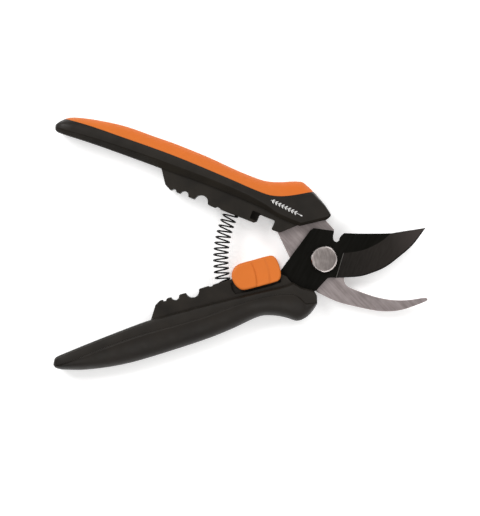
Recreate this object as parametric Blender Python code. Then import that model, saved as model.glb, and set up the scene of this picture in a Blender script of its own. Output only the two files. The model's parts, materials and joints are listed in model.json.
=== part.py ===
"""Bypass pruning snips with two lever handles, a coil return spring and a thumb lock, lying open.

The world origin is where the pivot axis meets the resting plane. +X runs to the blade tips along the
middle of the jaw, +Y points to the upper handle and +Z is up, out of the resting plane.

Each half is drawn in its own plan: u runs from the pivot to the butt of the handle and v runs outward,
away from the other handle. Blade points therefore have a negative u. The two plans mirror each other.
Sizes are in millimetres and MM turns them into metres. Heights are measured from the resting plane.
"""

import math

import bmesh
import bpy

MM = 0.001

# Overall sizes
OPEN_ANGLE = 38.0
GRIP_LENGTH = 56.0
BLADE_REACH = 53.3
HANDLE_THICKNESS = 16.0
FRAME_THICKNESS = 10.6
GAP = 0.3

# Blades
BLADE_THICKNESS = 2.5
HOOK_THICKNESS = 3.0
HEEL_RADIUS = 16.9
HEEL_STOP_ANGLE = 62.2
EDGE_THICKNESS = 0.15
TIP_THICKNESS = 0.5
STUD_RADIUS = 1.6
LOWER_STUD = (34.0, 8.8)
UPPER_STUD = (22.0, 14.5)

# Pivot
SHANK_RADIUS = 4.0
BOLT_HEAD_LIP = 2.5
BOLT_HEAD_HEIGHT = 1.8
BOLT_HEAD_CHAMFER = 0.6
WASHER_WIDTH = 1.9
WASHER_THICKNESS = 0.8
NUT_WALL = 1.5
NUT_RECESS = 0.25

# Handle ribs, which meet along a line beside the pivot when the snips are shut
PARTING_LINE = 3.9
SHUT_GAP = 0.6
RIB_END = 93.0
CORNER_REACH = 84.3
NOTCHES = ((82.0, 1.1), (76.5, 2.1), (67.5, 3.4))

# Return spring, which lies on an arc round the pivot
SPRING_PLACE = 51.5
SPRING_RADIUS = 3.55
WIRE_RADIUS = 0.4
SPRING_TURNS = 16.5
POCKET_DEPTH = 7.0

# Thumb lock
LOCK_TRAVEL = 4.0
LOCK_LOW_END = 22.4
LOCK_HIGH_END = 46.7
LOCK_OUTER_EDGE = 3.8
LOCK_INNER_EDGE = -9.8
CHEEK_RECESS = 0.1
BRIDGE_PLACE = 31.0
BRIDGE_WIDTH = 2.6
NOSE_LENGTH = 2.9
NOSE_LOW = -8.6
NOSE_HIGH = -5.6
NOSE_HEIGHT = 3.5
TONGUE_START = 26.0
TONGUE_LENGTH = 16.0
TONGUE_EDGES = (0.8, 2.2)
TONGUE_HEIGHT = 1.2
LUG_ROOM = 1.1

# Heights
MIDDLE = HANDLE_THICKNESS / 2
FACE_GAP = GAP / 2
BLADE_BACK = MIDDLE + FACE_GAP
BLADE_FRONT = BLADE_BACK + BLADE_THICKNESS
HOOK_FRONT = MIDDLE - FACE_GAP
HOOK_BACK = HOOK_FRONT - HOOK_THICKNESS
WASHER_FRONT = HOOK_BACK - GAP
NUT_FRONT = WASHER_FRONT - WASHER_THICKNESS - GAP
FRAME_HALF = FRAME_THICKNESS / 2
CAVITY_HALF = FRAME_HALF + GAP

# Edges of the ribs that face each other when shut
LOWER_RIB_EDGE = -(PARTING_LINE - SHUT_GAP / 2)
UPPER_RIB_EDGE = PARTING_LINE + SHUT_GAP / 2
POCKET_RADIUS = SPRING_RADIUS + WIRE_RADIUS + GAP

# Round sizes that follow the bolt
HOLE_RADIUS = SHANK_RADIUS + GAP
BOLT_HEAD_RADIUS = SHANK_RADIUS + BOLT_HEAD_LIP
WASHER_RADIUS = HOLE_RADIUS + WASHER_WIDTH
NUT_RADIUS = (HOLE_RADIUS + NUT_WALL) / math.cos(math.radians(30))

# Where the upper rib makes way for the lock
RIB_FACE = BRIDGE_PLACE + BRIDGE_WIDTH + LOCK_TRAVEL + GAP
LUG_FACE = BRIDGE_PLACE - LUG_ROOM

ROUND_SIDES = 32


def on_grip(share):
    """The u of a place on the grip: 0 where the rib ends, 1 at the butt."""
    return RIB_END + share * GRIP_LENGTH


def on_blade(share):
    """The u of a place on a blade: 0 at the pivot, 1 at the tip."""
    return -share * BLADE_REACH


def between(before, start, end, after, t):
    """One coordinate on a smooth curve, a share t of the way from start to end."""
    bend = 2 * before - 5 * start + 4 * end - after
    twist = 3 * start - before - 3 * end + after
    return 0.5 * (2 * start + (end - before) * t + bend * t**2 + twist * t**3)


def curve(points, steps=3):
    """A smooth curve through the points, with this many steps from each to the next."""
    ends = [points[0]] + list(points) + [points[-1]]
    made = []
    for before, start, end, after in zip(ends, ends[1:], ends[2:], ends[3:]):
        for step in range(steps):
            t = step / steps
            made.append(tuple(between(*along, t) for along in zip(before, start, end, after)))
    return made + [points[-1]]


def spaced(points, count):
    """This many points at equal distances along a line through the points."""
    lengths = [0.0]
    for start, end in zip(points, points[1:]):
        lengths.append(lengths[-1] + math.dist(start, end))
    made = []
    for index in range(count):
        reach = lengths[-1] * index / (count - 1)
        place = max(i for i in range(len(points) - 1) if lengths[i] <= reach)
        share = (reach - lengths[place]) / (lengths[place + 1] - lengths[place])
        made.append(tuple(a + (b - a) * share for a, b in zip(points[place], points[place + 1])))
    return made


def height_at(points, u):
    """The v of a line through the points, at this u."""
    for (u0, v0), (u1, v1) in zip(points, points[1:]):
        if u <= u1:
            return v0 + (v1 - v0) * (u - u0) / (u1 - u0)
    return points[-1][1]


def grown(outline, gap):
    """The outline with each side moved outward by the gap."""
    area = sum(a[0] * b[1] - b[0] * a[1] for a, b in zip(outline, outline[1:] + outline[:1]))
    side = math.copysign(gap, area)
    made = []
    for before, here, after in zip(outline[-1:] + outline[:-1], outline, outline[1:] + outline[:1]):
        first = math.dist(before, here)
        second = math.dist(here, after)
        one = ((here[1] - before[1]) / first, (before[0] - here[0]) / first)
        two = ((after[1] - here[1]) / second, (here[0] - after[0]) / second)
        reach = side / max(0.4, 1 + one[0] * two[0] + one[1] * two[1])
        made.append((here[0] + (one[0] + two[0]) * reach, here[1] + (one[1] + two[1]) * reach))
    return made


def arc(centre, radius, start, end, steps):
    """Points on an arc, both ends included. Angles are in degrees."""
    made = []
    for step in range(steps + 1):
        angle = math.radians(start + (end - start) * step / steps)
        made.append((centre[0] + radius * math.cos(angle), centre[1] + radius * math.sin(angle)))
    return made


class Half:
    """One half of the snips: the empty on the pivot that carries it, and the side that its v is on."""

    def __init__(self, name, turn, side):
        self.empty = bpy.data.objects.new(name, None)
        self.empty.rotation_euler = (0, 0, math.radians(turn))
        self.side = side
        bpy.context.scene.collection.objects.link(self.empty)

    def point(self, u, v, z):
        return (u * MM, v * self.side * MM, z * MM)


def material(name, colour, roughness, metallic=0.0):
    made = bpy.data.materials.new(name)
    made.use_nodes = True
    shader = made.node_tree.nodes["Principled BSDF"]
    shader.inputs["Base Color"].default_value = (*colour, 1)
    shader.inputs["Roughness"].default_value = roughness
    shader.inputs["Metallic"].default_value = metallic
    return made


def solid(name, half, points, faces, look):
    """An object on one half, from (u, v, height) points and the faces between them."""
    mesh = bpy.data.meshes.new(name)
    mesh.from_pydata([half.point(*p) for p in points], [], faces)
    shape = bmesh.new()
    shape.from_mesh(mesh)
    bmesh.ops.recalc_face_normals(shape, faces=shape.faces)
    shape.to_mesh(mesh)
    shape.free()
    made = bpy.data.objects.new(name, mesh)
    made.parent = half.empty
    if look:
        mesh.materials.append(look)
    bpy.context.scene.collection.objects.link(made)
    return made


def lofted(name, half, sections, look=None):
    """A closed solid through rings of equal count."""
    count = len(sections[0])
    points = [p for section in sections for p in section]
    faces = [list(range(count)), list(range(len(points) - count, len(points)))]
    for ring in range(len(sections) - 1):
        for i in range(count):
            low = ring * count
            after = (i + 1) % count
            faces.append([low + i, low + after, low + count + after, low + count + i])
    return solid(name, half, points, faces, look)


def plate(name, half, outline, low, high, look=None):
    """A flat plate of this outline between two heights."""
    return lofted(name, half, [[(u, v, z) for u, v in outline] for z in (low, high)], look)


def turned(name, half, profile, sides, look=None, centre=(0, 0)):
    """A solid of round or polygonal section about an upright axis, from (radius, height) pairs."""
    rings = [[(u, v, z) for u, v in arc(centre, r, 0, 360, sides)[:-1]] for r, z in profile]
    return lofted(name, half, rings, look)


def cut(target, cutter, operation="DIFFERENCE"):
    """Cuts the cutter out of the target, or joins it on, and hides the cutter."""
    cutter.hide_render = True
    cutter.display_type = "WIRE"
    change = target.modifiers.new(cutter.name, "BOOLEAN")
    change.operation = operation
    change.object = cutter
    return target


def smooth_sides(thing, degrees=35):
    thing.data.shade_smooth()
    thing.data.set_sharp_from_angle(angle=math.radians(degrees))


# ---------------------------------------------------------------- blades

CHOIL = [(-3.0, 10.6), (0.3, 9.6), (2.9, 10.7), (8.3, 14.0)]
BLADE_TANG = [(11.5, 14.2), (22, 13.2), (32, 12.0), (75, 10.8), (75, 7.0), (45, 6.3), (28, 5.0)]
BLADE_HEEL = [(22.2, -0.9), (2.4, -15.7), (0.6, -16.3), (-7.9, -12.5), (-8.7, -11.8)]
WIRE_NOTCH = [(-7.6, -9.4), (-7.8, -7.5), (-9.2, -6.5), (-11.2, -7.9), (-13.4, -9.6)]
HOOK_TANG = [(28.3, 6.5), (28.5, 9), (34, 12.3), (75, 12.8), (75, 15.4), (40, 15.8), (28, 18.3), (14, 19.8)]
GRIND_START = (-9.9, -0.1)
GRIND_STEPS = 8
TAIL_STEPS = 6


def blade_spine():
    """The back of the cutting blade, from its wire notch to where the grind reaches it."""
    return curve([(-13.4, -9.6), (on_blade(0.377), -7.3), (on_blade(0.567), -4.3), (on_blade(0.668), -2.8)])


def blade_tail():
    """The rest of the back, which the grind has thinned, as far as the tip."""
    return spaced([(on_blade(0.668), -2.8), (on_blade(0.8), -2.0), (on_blade(1), -0.1)], TAIL_STEPS + 1)


def blade_edge():
    """The cutting edge, from the choil to the tip, a point for each step of the grind and the tail."""
    line = [CHOIL[0], (-13.9, 13.3), (on_blade(0.398), 13.5), (on_blade(0.54), 12.5), (on_blade(0.696), 9.4)]
    line += [(on_blade(0.84), 5.9), (on_blade(1), -0.1)]
    return spaced(curve(line), GRIND_STEPS + TAIL_STEPS + 1)


def blade_grind():
    """The line where the flat of the cutting blade turns into its ground bevel."""
    line = [GRIND_START, (on_blade(0.33), 1.1), (on_blade(0.44), 1.0), (on_blade(0.57), -0.5)]
    line.append((on_blade(0.668), -2.8))
    return spaced(curve(line), GRIND_STEPS + 1)


def blade_outline():
    """The whole plan of the cutting blade, starting at the tip and going along its edge."""
    edge = blade_edge()[::-1]
    return edge + CHOIL[1:] + BLADE_TANG + BLADE_HEEL + WIRE_NOTCH[:-1] + blade_spine() + blade_tail()[1:-1]


def cutting_blade(half, look):
    """A flat-backed plate with one long bevel, falling from the grind line to the cutting edge."""
    outline = blade_outline()
    steps = GRIND_STEPS + TAIL_STEPS
    count = len(outline)
    heights = [BLADE_FRONT] * count
    for i in range(steps):
        heights[i] = BLADE_BACK + EDGE_THICKNESS
    heights[0] = BLADE_BACK + TIP_THICKNESS
    for i in range(1, TAIL_STEPS):
        heights[-i] = BLADE_BACK + TIP_THICKNESS + (BLADE_THICKNESS - TIP_THICKNESS) * i / TAIL_STEPS
    points = [(u, v, BLADE_BACK) for u, v in outline]
    points += [(u, v, z) for (u, v), z in zip(outline, heights)]
    grind = blade_grind()
    points += [(u, v, BLADE_FRONT) for u, v in grind[:-1]]
    faces = [list(range(count))]
    faces += [[i, (i + 1) % count, count + (i + 1) % count, count + i] for i in range(count)]
    inner = [2 * count + i for i in range(GRIND_STEPS)]
    inner += [2 * count - TAIL_STEPS + i for i in range(TAIL_STEPS)]
    edge = [count + steps - i for i in range(steps + 1)]
    for i in range(steps - 1):
        faces.append([inner[i], inner[i + 1], edge[i + 1], edge[i]])
    faces.append([inner[-1], edge[-1], edge[-2]])
    flat = [count + i for i in range(steps, count - TAIL_STEPS + 1)]
    faces.append(flat + inner[GRIND_STEPS - 1::-1])
    made = solid("cutting_blade", half, points, faces, look)
    cut(made, pivot_hole(half, "blade_pivot_hole"))
    cut(made, stud(half, "blade_stud_hole", LOWER_STUD, STUD_RADIUS + GAP))


def hook_outline():
    """The plan of the hook blade: heel, outer edge, tip, inner edge, pivot lobe and tang."""
    heel = math.radians(OPEN_ANGLE + HEEL_STOP_ANGLE)
    outer = [(HEEL_RADIUS * math.cos(heel), -HEEL_RADIUS * math.sin(heel)), (-10.2, -17.3)]
    outer += [(on_blade(0.33), -17.1), (on_blade(0.597), -14.9)]
    outer += [(on_blade(0.724), -13.0), (on_blade(0.842), -9.9), (on_blade(0.95), -5.3)]
    outer.append((on_blade(1.04), -0.9))
    tip = [(on_blade(1.046), 0.3), (on_blade(1.03), 0.8)]
    inner = [(on_blade(0.985), -0.4), (on_blade(0.869), -3.9), (on_blade(0.747), -6.4)]
    inner += [(on_blade(0.615), -7.9), (on_blade(0.478), -8.5), (-17.3, -8.5), (-14.4, -7.5)]
    lobe = [(-14.4, -7.5), (-12.9, -5.2), (-14.1, -2.0), (-14, 2), (-12.5, 7), (-8.8, 10.3), (-6, 10.2)]
    lobe += [(-3.2, 9.2), (-0.6, 10.0), (0.2, 12.5), (0.5, 15.6)]
    head = [(2.6, 17.2), (8.5, 19.6)] + HOOK_TANG[::-1] + [(25.9, 3.6), (15.9, -5.7)]
    return curve(outer) + tip + curve(inner)[:-1] + curve(lobe) + head


def hook_blade(half, look):
    """The curved counter blade, a plain plate that the cutting blade passes in front of."""
    made = plate("hook_blade", half, hook_outline(), HOOK_BACK, HOOK_FRONT, look)
    cut(made, pivot_hole(half, "hook_pivot_hole"))
    cut(made, stud(half, "hook_stud_hole", UPPER_STUD, STUD_RADIUS + GAP))


def pivot_hole(half, name):
    return turned(name, half, [(HOLE_RADIUS, 0), (HOLE_RADIUS, HANDLE_THICKNESS)], ROUND_SIDES)


def stud(half, name, centre, radius):
    """A round stud through the tang, which locks the blade in its frame."""
    return turned(name, half, [(radius, 0), (radius, HANDLE_THICKNESS)], 16, centre=centre)


# ---------------------------------------------------------------- pivot

def pivot_bolt(half, look):
    """A flat-headed bolt whose plain end stands in the resting plane."""
    head = BLADE_FRONT + GAP
    profile = [
        (SHANK_RADIUS - 0.5, 0),
        (SHANK_RADIUS, 0.5),
        (SHANK_RADIUS, head),
        (BOLT_HEAD_RADIUS, head),
        (BOLT_HEAD_RADIUS, head + BOLT_HEAD_HEIGHT - BOLT_HEAD_CHAMFER),
        (BOLT_HEAD_RADIUS - BOLT_HEAD_CHAMFER, head + BOLT_HEAD_HEIGHT),
    ]
    smooth_sides(turned("pivot_bolt", half, profile, 2 * ROUND_SIDES, look))


def pivot_washer(half, look):
    profile = [(WASHER_RADIUS, WASHER_FRONT - WASHER_THICKNESS), (WASHER_RADIUS, WASHER_FRONT)]
    cut(turned("pivot_washer", half, profile, ROUND_SIDES, look), pivot_hole(half, "washer_hole"))


def pivot_nut(half, look):
    profile = [(NUT_RADIUS, NUT_RECESS), (NUT_RADIUS, NUT_FRONT)]
    cut(turned("pivot_nut", half, profile, 6, look), pivot_hole(half, "nut_hole"))


# ---------------------------------------------------------------- frames

def rib_edge(v):
    """The inner edge of a rib, from its far corner towards the pivot, with its round stripping notches."""
    made = []
    for u, radius in NOTCHES:
        made += arc((u, v), radius, 0, 180, 8)
    return made


LOWER_HEAD = [(19.0, 6.4), (15.7, 10.8), (11.6, 13.9)]
LOWER_CORE = [(11.6, 16.8), (22, 15.8), (32, 14.4), (75, 13.6)]
LOWER_MOUTH = [(17.0, 0.0), (6.0, 8.0), (6.0, 14.3), (11.6, 14.8)]
UPPER_HEAD = [(18.0, 11.3), (7.6, 18.9)]
UPPER_CORE = [(9.5, 22.2), (17, 24.2), (27, 21.0), (36, 17.8), (75, 17.5)]
UPPER_MOUTH = [(17.0, 7.0), (3.0, 15.0), (3.0, 17.6), (8.0, 20.0)]


def lower_frame_outline(head):
    """The plan of the lower frame: rib, front of the head, then the core inside the grip."""
    rib = [(RIB_END - 0.5, 6.0), (CORNER_REACH + 2.6, -2.2), (CORNER_REACH, LOWER_RIB_EDGE)]
    rib += rib_edge(LOWER_RIB_EDGE) + [(28.2, LOWER_RIB_EDGE), (20.5, 2.8)]
    core = [(on_grip(0.74), 13.0), (on_grip(0.78), 11.6), (on_grip(0.4), 8.9), (on_grip(0.08), 7.4)]
    return rib + head + LOWER_CORE + core


def upper_frame_outline(head):
    """The plan of the upper frame: rib, end face, lug, head, then the core inside the grip."""
    rib = [(RIB_END, 14.0), (CORNER_REACH + 2.9, 5.7), (CORNER_REACH, UPPER_RIB_EDGE)]
    rib += rib_edge(UPPER_RIB_EDGE) + [(RIB_FACE + 1.3, UPPER_RIB_EDGE), (RIB_FACE, 5.2), (RIB_FACE, 9.0)]
    lug = [(LUG_FACE - 0.3, 9.0), (LUG_FACE, UPPER_RIB_EDGE), (25.4, UPPER_RIB_EDGE)]
    core = [(on_grip(0.74), 17.2), (on_grip(0.79), 16.0), (on_grip(0.74), 14.9), (on_grip(0.1), 15.0)]
    return rib + lug + head + UPPER_CORE + core


def frame(name, half, outline, tang, stud_place, look):
    """A rib and its core in one, with a slot for the blade's tang round a stud."""
    made = plate(name, half, outline, MIDDLE - FRAME_HALF, MIDDLE + FRAME_HALF, look)
    tang_plan, low, high = tang
    slot = plate(f"{name}_tang_slot", half, grown(tang_plan, GAP), low - GAP, high + GAP)
    cut(slot, stud(half, f"{name}_stud", stud_place, STUD_RADIUS))
    cut(made, slot)
    return made


def spring_pocket(name, half, edge, depth):
    """A round blind bore across the rib that one end of the spring stands in."""
    inward = math.copysign(1, edge)
    bottom = edge + depth if edge < 0 else edge + inward * depth
    mouth = edge - 1 if edge < 0 else edge - inward
    rings = []
    for v in (mouth, bottom):
        ring = arc((SPRING_PLACE, MIDDLE), POCKET_RADIUS, 0, 360, 24)[:-1]
        rings.append([(u, v, z) for u, z in ring])
    return lofted(name, half, rings)


def lower_frame(half, look):
    tang = (blade_outline(), BLADE_BACK, BLADE_FRONT)
    made = frame("lower_frame", half, lower_frame_outline(LOWER_HEAD), tang, LOWER_STUD, look)
    cut(made, spring_pocket("lower_spring_pocket", half, LOWER_RIB_EDGE, POCKET_DEPTH))
    groove_low = TONGUE_START - GAP
    groove_high = TONGUE_START + TONGUE_LENGTH + LOCK_TRAVEL + GAP
    outline = rectangle(groove_low, groove_high, TONGUE_EDGES[0] - GAP, TONGUE_EDGES[1] + GAP)
    for name, facing in (("front", 1), ("back", -1)):
        near = MIDDLE + facing * (CAVITY_HALF - TONGUE_HEIGHT - GAP)
        far = MIDDLE + facing * (FRAME_HALF + 1)
        cut(made, plate(f"lock_groove_{name}", half, outline, min(near, far), max(near, far)))


def upper_frame(half, look):
    tang = (hook_outline(), HOOK_BACK, HOOK_FRONT)
    made = frame("upper_frame", half, upper_frame_outline(UPPER_HEAD), tang, UPPER_STUD, look)
    cut(made, spring_pocket("upper_spring_pocket", half, UPPER_RIB_EDGE, POCKET_DEPTH))
    outline = rectangle(RIB_FACE - 2, RIB_FACE + NOSE_LENGTH + 1.2, -NOSE_HIGH - GAP, -NOSE_LOW + 1)
    for name, facing in (("front", 1), ("back", -1)):
        near = MIDDLE + facing * (CAVITY_HALF - NOSE_HEIGHT - GAP)
        far = MIDDLE + facing * (FRAME_HALF + 1)
        cut(made, plate(f"catch_pocket_{name}", half, outline, min(near, far), max(near, far)))


def rectangle(u0, u1, v0, v1):
    return [(u0, v0), (u1, v0), (u1, v1), (u0, v1)]


# ---------------------------------------------------------------- levers: covers and grip pads

LOWER_LEVER = {
    "inner": [(8.8, 15.4), (9.4, 13.6), (14.9, 10.3), (18.2, 6.6), (22.2, 7.1), (37.5, 6.1), (63, 4.9),
              (90.9, 4.4), (on_grip(0.42), 6.1), (on_grip(0.8), 8.1), (on_grip(0.89), 9.0),
              (on_grip(0.92), 11.0)],
    "outer": [(8.8, 17.0), (9.7, 20.5), (13, 23.4), (17.2, 25.5), (21.8, 25.9), (26.7, 22.3), (32.8, 19.6),
              (40, 18.3), (54.7, 20.4), (71.1, 21.7), (100.6, 22.2), (on_grip(0.41), 21.3),
              (on_grip(0.67), 18.8),
              (on_grip(0.84), 16.0), (on_grip(0.9), 14.2), (on_grip(0.92), 12.7)],
    "crease": [(8.8, 16.6), (9.7, 19.5), (15.2, 18.4), (21, 11.8), (39.9, 9.1), (67.7, 10.3), (96.9, 9.9),
               (on_grip(0.44), 10.9), (on_grip(0.82), 12.8), (on_grip(0.92), 12.0)],
    "pad": None,
    "pad_span": (12.0, on_grip(0.88)),
    "stations": (8.8, 9.4, 11.5, 14.9, 17.2, 18.2, 20, 22.2, 26.7, 32.8, 40, 54.7, 71, 87),
}
UPPER_LEVER = {
    "inner": [(4.9, 20.6), (5.8, 18.9), (17.4, 10.8), (29.2, 11.1), (39.7, 12.6), (67.2, 13.2), (91.8, 12.6),
              (on_grip(0.59), 11.7), (on_grip(0.93), 10.6), (on_grip(0.98), 11.4), (on_grip(1), 12.6)],
    "outer": [(4.9, 22.0), (9.5, 25.4), (16.4, 29.1), (23.1, 32.0), (26.3, 31.6), (39.3, 26.2), (45.1, 25.4),
              (56.9, 25.6), (72.6, 26.9), (95, 26.4), (on_grip(0.43), 25.6), (on_grip(0.69), 23.4),
              (on_grip(0.87), 20.7), (on_grip(0.94), 18.5), (on_grip(0.975), 16.4), (on_grip(1), 14.0)],
    "crease": [(4.9, 21.4), (9.5, 24.6), (17.2, 27.6), (30, 21.0), (36, 18.9), (53.1, 18.3), (103, 17.4),
               (on_grip(0.57), 16.1), (on_grip(0.955), 14.3), (on_grip(1), 13.6)],
    "pad": [(4.9, 40.0), (17.2, 29.2), (30, 21.9), (36, 19.7), (60, 19.3), (70.3, 21.0), (99.8, 20.1),
            (on_grip(0.44), 19.8), (on_grip(0.75), 19.2), (on_grip(0.955), 17.6), (on_grip(1), 17.0)],
    "pad_span": (18.4, on_grip(0.93)),
    "stations": (4.9, 5.8, 9.5, 13, 17.2, 20, 23.1, 26.3, 30, 36, 39.7, 45.1, 56.9, 72.6, 92),
}
GRIP_STATIONS = tuple(on_grip(share) for share in (0.16, 0.4, 0.58, 0.72, 0.8))
BUTT_STATIONS = (6.5, 4, 2, 0.8, 0)
BUTT_ROUNDING = 9.0
FULLEST_TURN = 84.0
ARC_STEPS = 5


def lever_section(lever, butt, u):
    """The v of the inner edge, crease and outer edge here, half the thickness, and where the pad starts."""
    inner = height_at(lever["inner"], u)
    outer = max(height_at(lever["outer"], u), inner + 0.8)
    crease = min(max(height_at(lever["crease"], u), inner + 0.3), outer - 0.4)
    past = max(0.0, (u - (butt - BUTT_ROUNDING)) / BUTT_ROUNDING)
    half = HANDLE_THICKNESS / 2 * (0.5 + 0.5 * math.sqrt(max(0.0, 1 - past**2)))
    turn = 0.0
    if lever["pad"]:
        share = (height_at(lever["pad"], u) - crease) / (outer - crease)
        turn = min(FULLEST_TURN, math.degrees(math.asin(min(1.0, max(0.05, share)))))
    return inner, crease, outer, half, turn


def side_arc(crease, outer, half, start, end):
    """Points on the rounded back of a lever, between two turns of its quarter ellipse."""
    made = []
    for step in range(ARC_STEPS + 1):
        turn = math.radians(start + (end - start) * step / ARC_STEPS)
        made.append((crease + (outer - crease) * math.sin(turn), half * math.cos(turn)))
    return made


def cover_ring(lever, butt, u):
    inner, crease, outer, half, turn = lever_section(lever, butt, u)
    if turn:
        front = [(inner, half)] + side_arc(crease, outer, half, 0, turn)
    else:
        front = [(inner, half), (crease, half)]
    ring = front + [(v, -z) for v, z in reversed(front)]
    return [(u, v, MIDDLE + z) for v, z in ring]


def pad_ring(lever, butt, u):
    inner, crease, outer, half, turn = lever_section(lever, butt, u)
    front = side_arc(crease + GAP, outer, half, turn, 90)
    if turn:
        start = crease + (outer - crease) * math.sin(math.radians(turn)) + GAP
        front = [(max(v, start), z) for v, z in front]
    ring = front + [(v, -z) for v, z in reversed(front[:-1])]
    return [(u, v, MIDDLE + z) for v, z in ring]


def lever_pieces(name, half, lever, cavity, looks):
    """The moulded cover and the soft pad round the core of a frame."""
    butt = lever["inner"][-1][0]
    places = sorted({*lever["stations"], *GRIP_STATIONS, *(butt - back for back in BUTT_STATIONS)})
    pad_span = lever["pad_span"]
    rings = [cover_ring(lever, butt, u) for u in places]
    cover = lofted(f"{name}_cover", half, rings, looks[0])
    ends = [u for u in places if pad_span[0] + 1 < u < pad_span[1] - 1]
    rings = [pad_ring(lever, butt, u) for u in [pad_span[0]] + ends + [pad_span[1]]]
    pad = lofted(f"{name}_grip_pad", half, rings, looks[1])
    low = MIDDLE - CAVITY_HALF
    high = MIDDLE + CAVITY_HALF
    for piece in (cover, pad):
        cut(piece, plate(f"{piece.name}_cavity", half, grown(cavity, GAP), low, high))
        smooth_sides(piece)


# ---------------------------------------------------------------- spring and lock

def spring_path():
    """A function from a length along the spring's middle line to its place and side, and the whole length."""
    lower_turn = 180 + OPEN_ANGLE / 2
    upper_turn = 180 - OPEN_ANGLE / 2
    low_end = LOWER_RIB_EDGE + POCKET_DEPTH - GAP
    high_end = UPPER_RIB_EDGE + POCKET_DEPTH - GAP
    bend = math.radians(OPEN_ANGLE) * SPRING_PLACE
    total = low_end + bend + high_end

    def place(length):
        along = min(max(length - low_end, 0), bend)
        angle = math.radians(lower_turn) - along / SPRING_PLACE
        out = (math.cos(angle), math.sin(angle))
        ahead = (math.sin(angle), -math.cos(angle))
        straight = min(length - low_end, 0) + max(length - low_end - bend, 0)
        centre = [SPRING_PLACE * o + straight * a for o, a in zip(out, ahead)]
        return centre, out

    return place, total


def return_spring(root, look):
    """A round wire coil whose first and last turns lie close together."""
    place, total = spring_path()
    close = 2.5 * WIRE_RADIUS
    steps = 10
    count = int(SPRING_TURNS * steps)
    points = []
    for index in range(count + 1):
        turn = index / steps
        open_turns = SPRING_TURNS - 2
        middle = min(max(turn - 1, 0), open_turns)
        ends = turn - middle
        length = WIRE_RADIUS + ends * close + middle * (total - 2 * WIRE_RADIUS - 2 * close) / open_turns
        centre, out = place(length)
        angle = 2 * math.pi * turn
        side = SPRING_RADIUS * math.cos(angle)
        height = MIDDLE + SPRING_RADIUS * math.sin(angle)
        points.append((centre[0] + out[0] * side, centre[1] + out[1] * side, height))
    curve_data = bpy.data.curves.new("return_spring", "CURVE")
    curve_data.dimensions = "3D"
    curve_data.bevel_depth = WIRE_RADIUS * MM
    curve_data.bevel_resolution = 1
    curve_data.use_fill_caps = True
    wire = curve_data.splines.new("POLY")
    wire.points.add(len(points) - 1)
    for knot, (x, y, z) in zip(wire.points, points):
        knot.co = (x * MM, y * MM, z * MM, 1)
    made = bpy.data.objects.new("return_spring", curve_data)
    curve_data.materials.append(look)
    bpy.context.scene.collection.objects.link(made)


def lock_slider(half, look):
    """A thumb slider that straddles the lower rib: two cheeks, a bridge, two noses and two guide tongues."""
    low_end, high_end = LOCK_LOW_END, LOCK_HIGH_END
    cheek = arc((low_end + 5, LOCK_OUTER_EDGE - 5), 5, 180, 100, 4)
    cheek += arc((high_end - 4, LOCK_OUTER_EDGE - 4), 4, 85, 0, 4)
    cheek += arc((high_end - 3.5, LOCK_INNER_EDGE + 3.5), 3.5, 0, -90, 4)
    cheek += arc((low_end + 3, LOCK_INNER_EDGE + 3.4), 3, -90, -180, 4)
    inner = CAVITY_HALF
    outer = MIDDLE - CHEEK_RECESS
    bridge_end = BRIDGE_PLACE + BRIDGE_WIDTH
    bridge = rectangle(BRIDGE_PLACE, bridge_end, NOSE_LOW, LOWER_RIB_EDGE - GAP)
    nose = rectangle(bridge_end - 1, bridge_end + NOSE_LENGTH, NOSE_LOW, NOSE_HIGH)
    tongue = rectangle(TONGUE_START, TONGUE_START + TONGUE_LENGTH, *TONGUE_EDGES)
    made = plate("lock_slider", half, bridge, MIDDLE - inner - 0.5, MIDDLE + inner + 0.5, look)
    for name, facing in (("front", 1), ("back", -1)):
        pieces = [("cheek", cheek, inner, outer), ("nose", nose, inner - NOSE_HEIGHT, inner + 0.4)]
        pieces.append(("tongue", tongue, inner - TONGUE_HEIGHT, inner + 0.4))
        for piece, outline, near, far in pieces:
            low, high = sorted((MIDDLE + facing * near, MIDDLE + facing * far))
            cut(made, plate(f"lock_{piece}_{name}", half, outline, low, high), "UNION")


# ---------------------------------------------------------------- assembly

def main():
    for thing in list(bpy.data.objects):
        bpy.data.objects.remove(thing, do_unlink=True)
    lower = Half("lower_half", 180 + OPEN_ANGLE / 2, 1)
    upper = Half("upper_half", 180 - OPEN_ANGLE / 2, -1)
    black = material("black_nylon", (0.02, 0.02, 0.022), 0.55)
    cover = material("black_cover", (0.012, 0.012, 0.014), 0.45)
    rubber = material("black_rubber", (0.01, 0.01, 0.011), 0.6)
    orange_rubber = material("orange_rubber", (0.85, 0.12, 0.01), 0.55)
    orange = material("orange_plastic", (0.85, 0.15, 0.02), 0.35)
    coated = material("coated_steel", (0.02, 0.02, 0.022), 0.35, 0.6)
    steel = material("brushed_steel", (0.45, 0.45, 0.44), 0.3, 1.0)
    wire = material("spring_steel", (0.06, 0.06, 0.065), 0.35, 0.9)
    cutting_blade(lower, coated)
    hook_blade(upper, steel)
    pivot_bolt(lower, steel)
    pivot_washer(lower, steel)
    pivot_nut(lower, steel)
    lower_frame(lower, black)
    upper_frame(upper, black)
    cavity = lower_frame_outline(LOWER_MOUTH)
    lever_pieces("lower", lower, LOWER_LEVER, cavity, (cover, rubber))
    cavity = upper_frame_outline(UPPER_MOUTH)
    lever_pieces("upper", upper, UPPER_LEVER, cavity, (cover, orange_rubber))
    return_spring(lower, wire)
    lock_slider(lower, orange)


main()
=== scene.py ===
"""Looks of the bypass pruning snips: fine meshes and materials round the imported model.

Each half is drawn in its own plan, in millimetres: u runs from the pivot to the butt of the handle and v runs
outward, away from the other handle. A blade's points have a negative u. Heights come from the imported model.
"""

import json
import math

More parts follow.
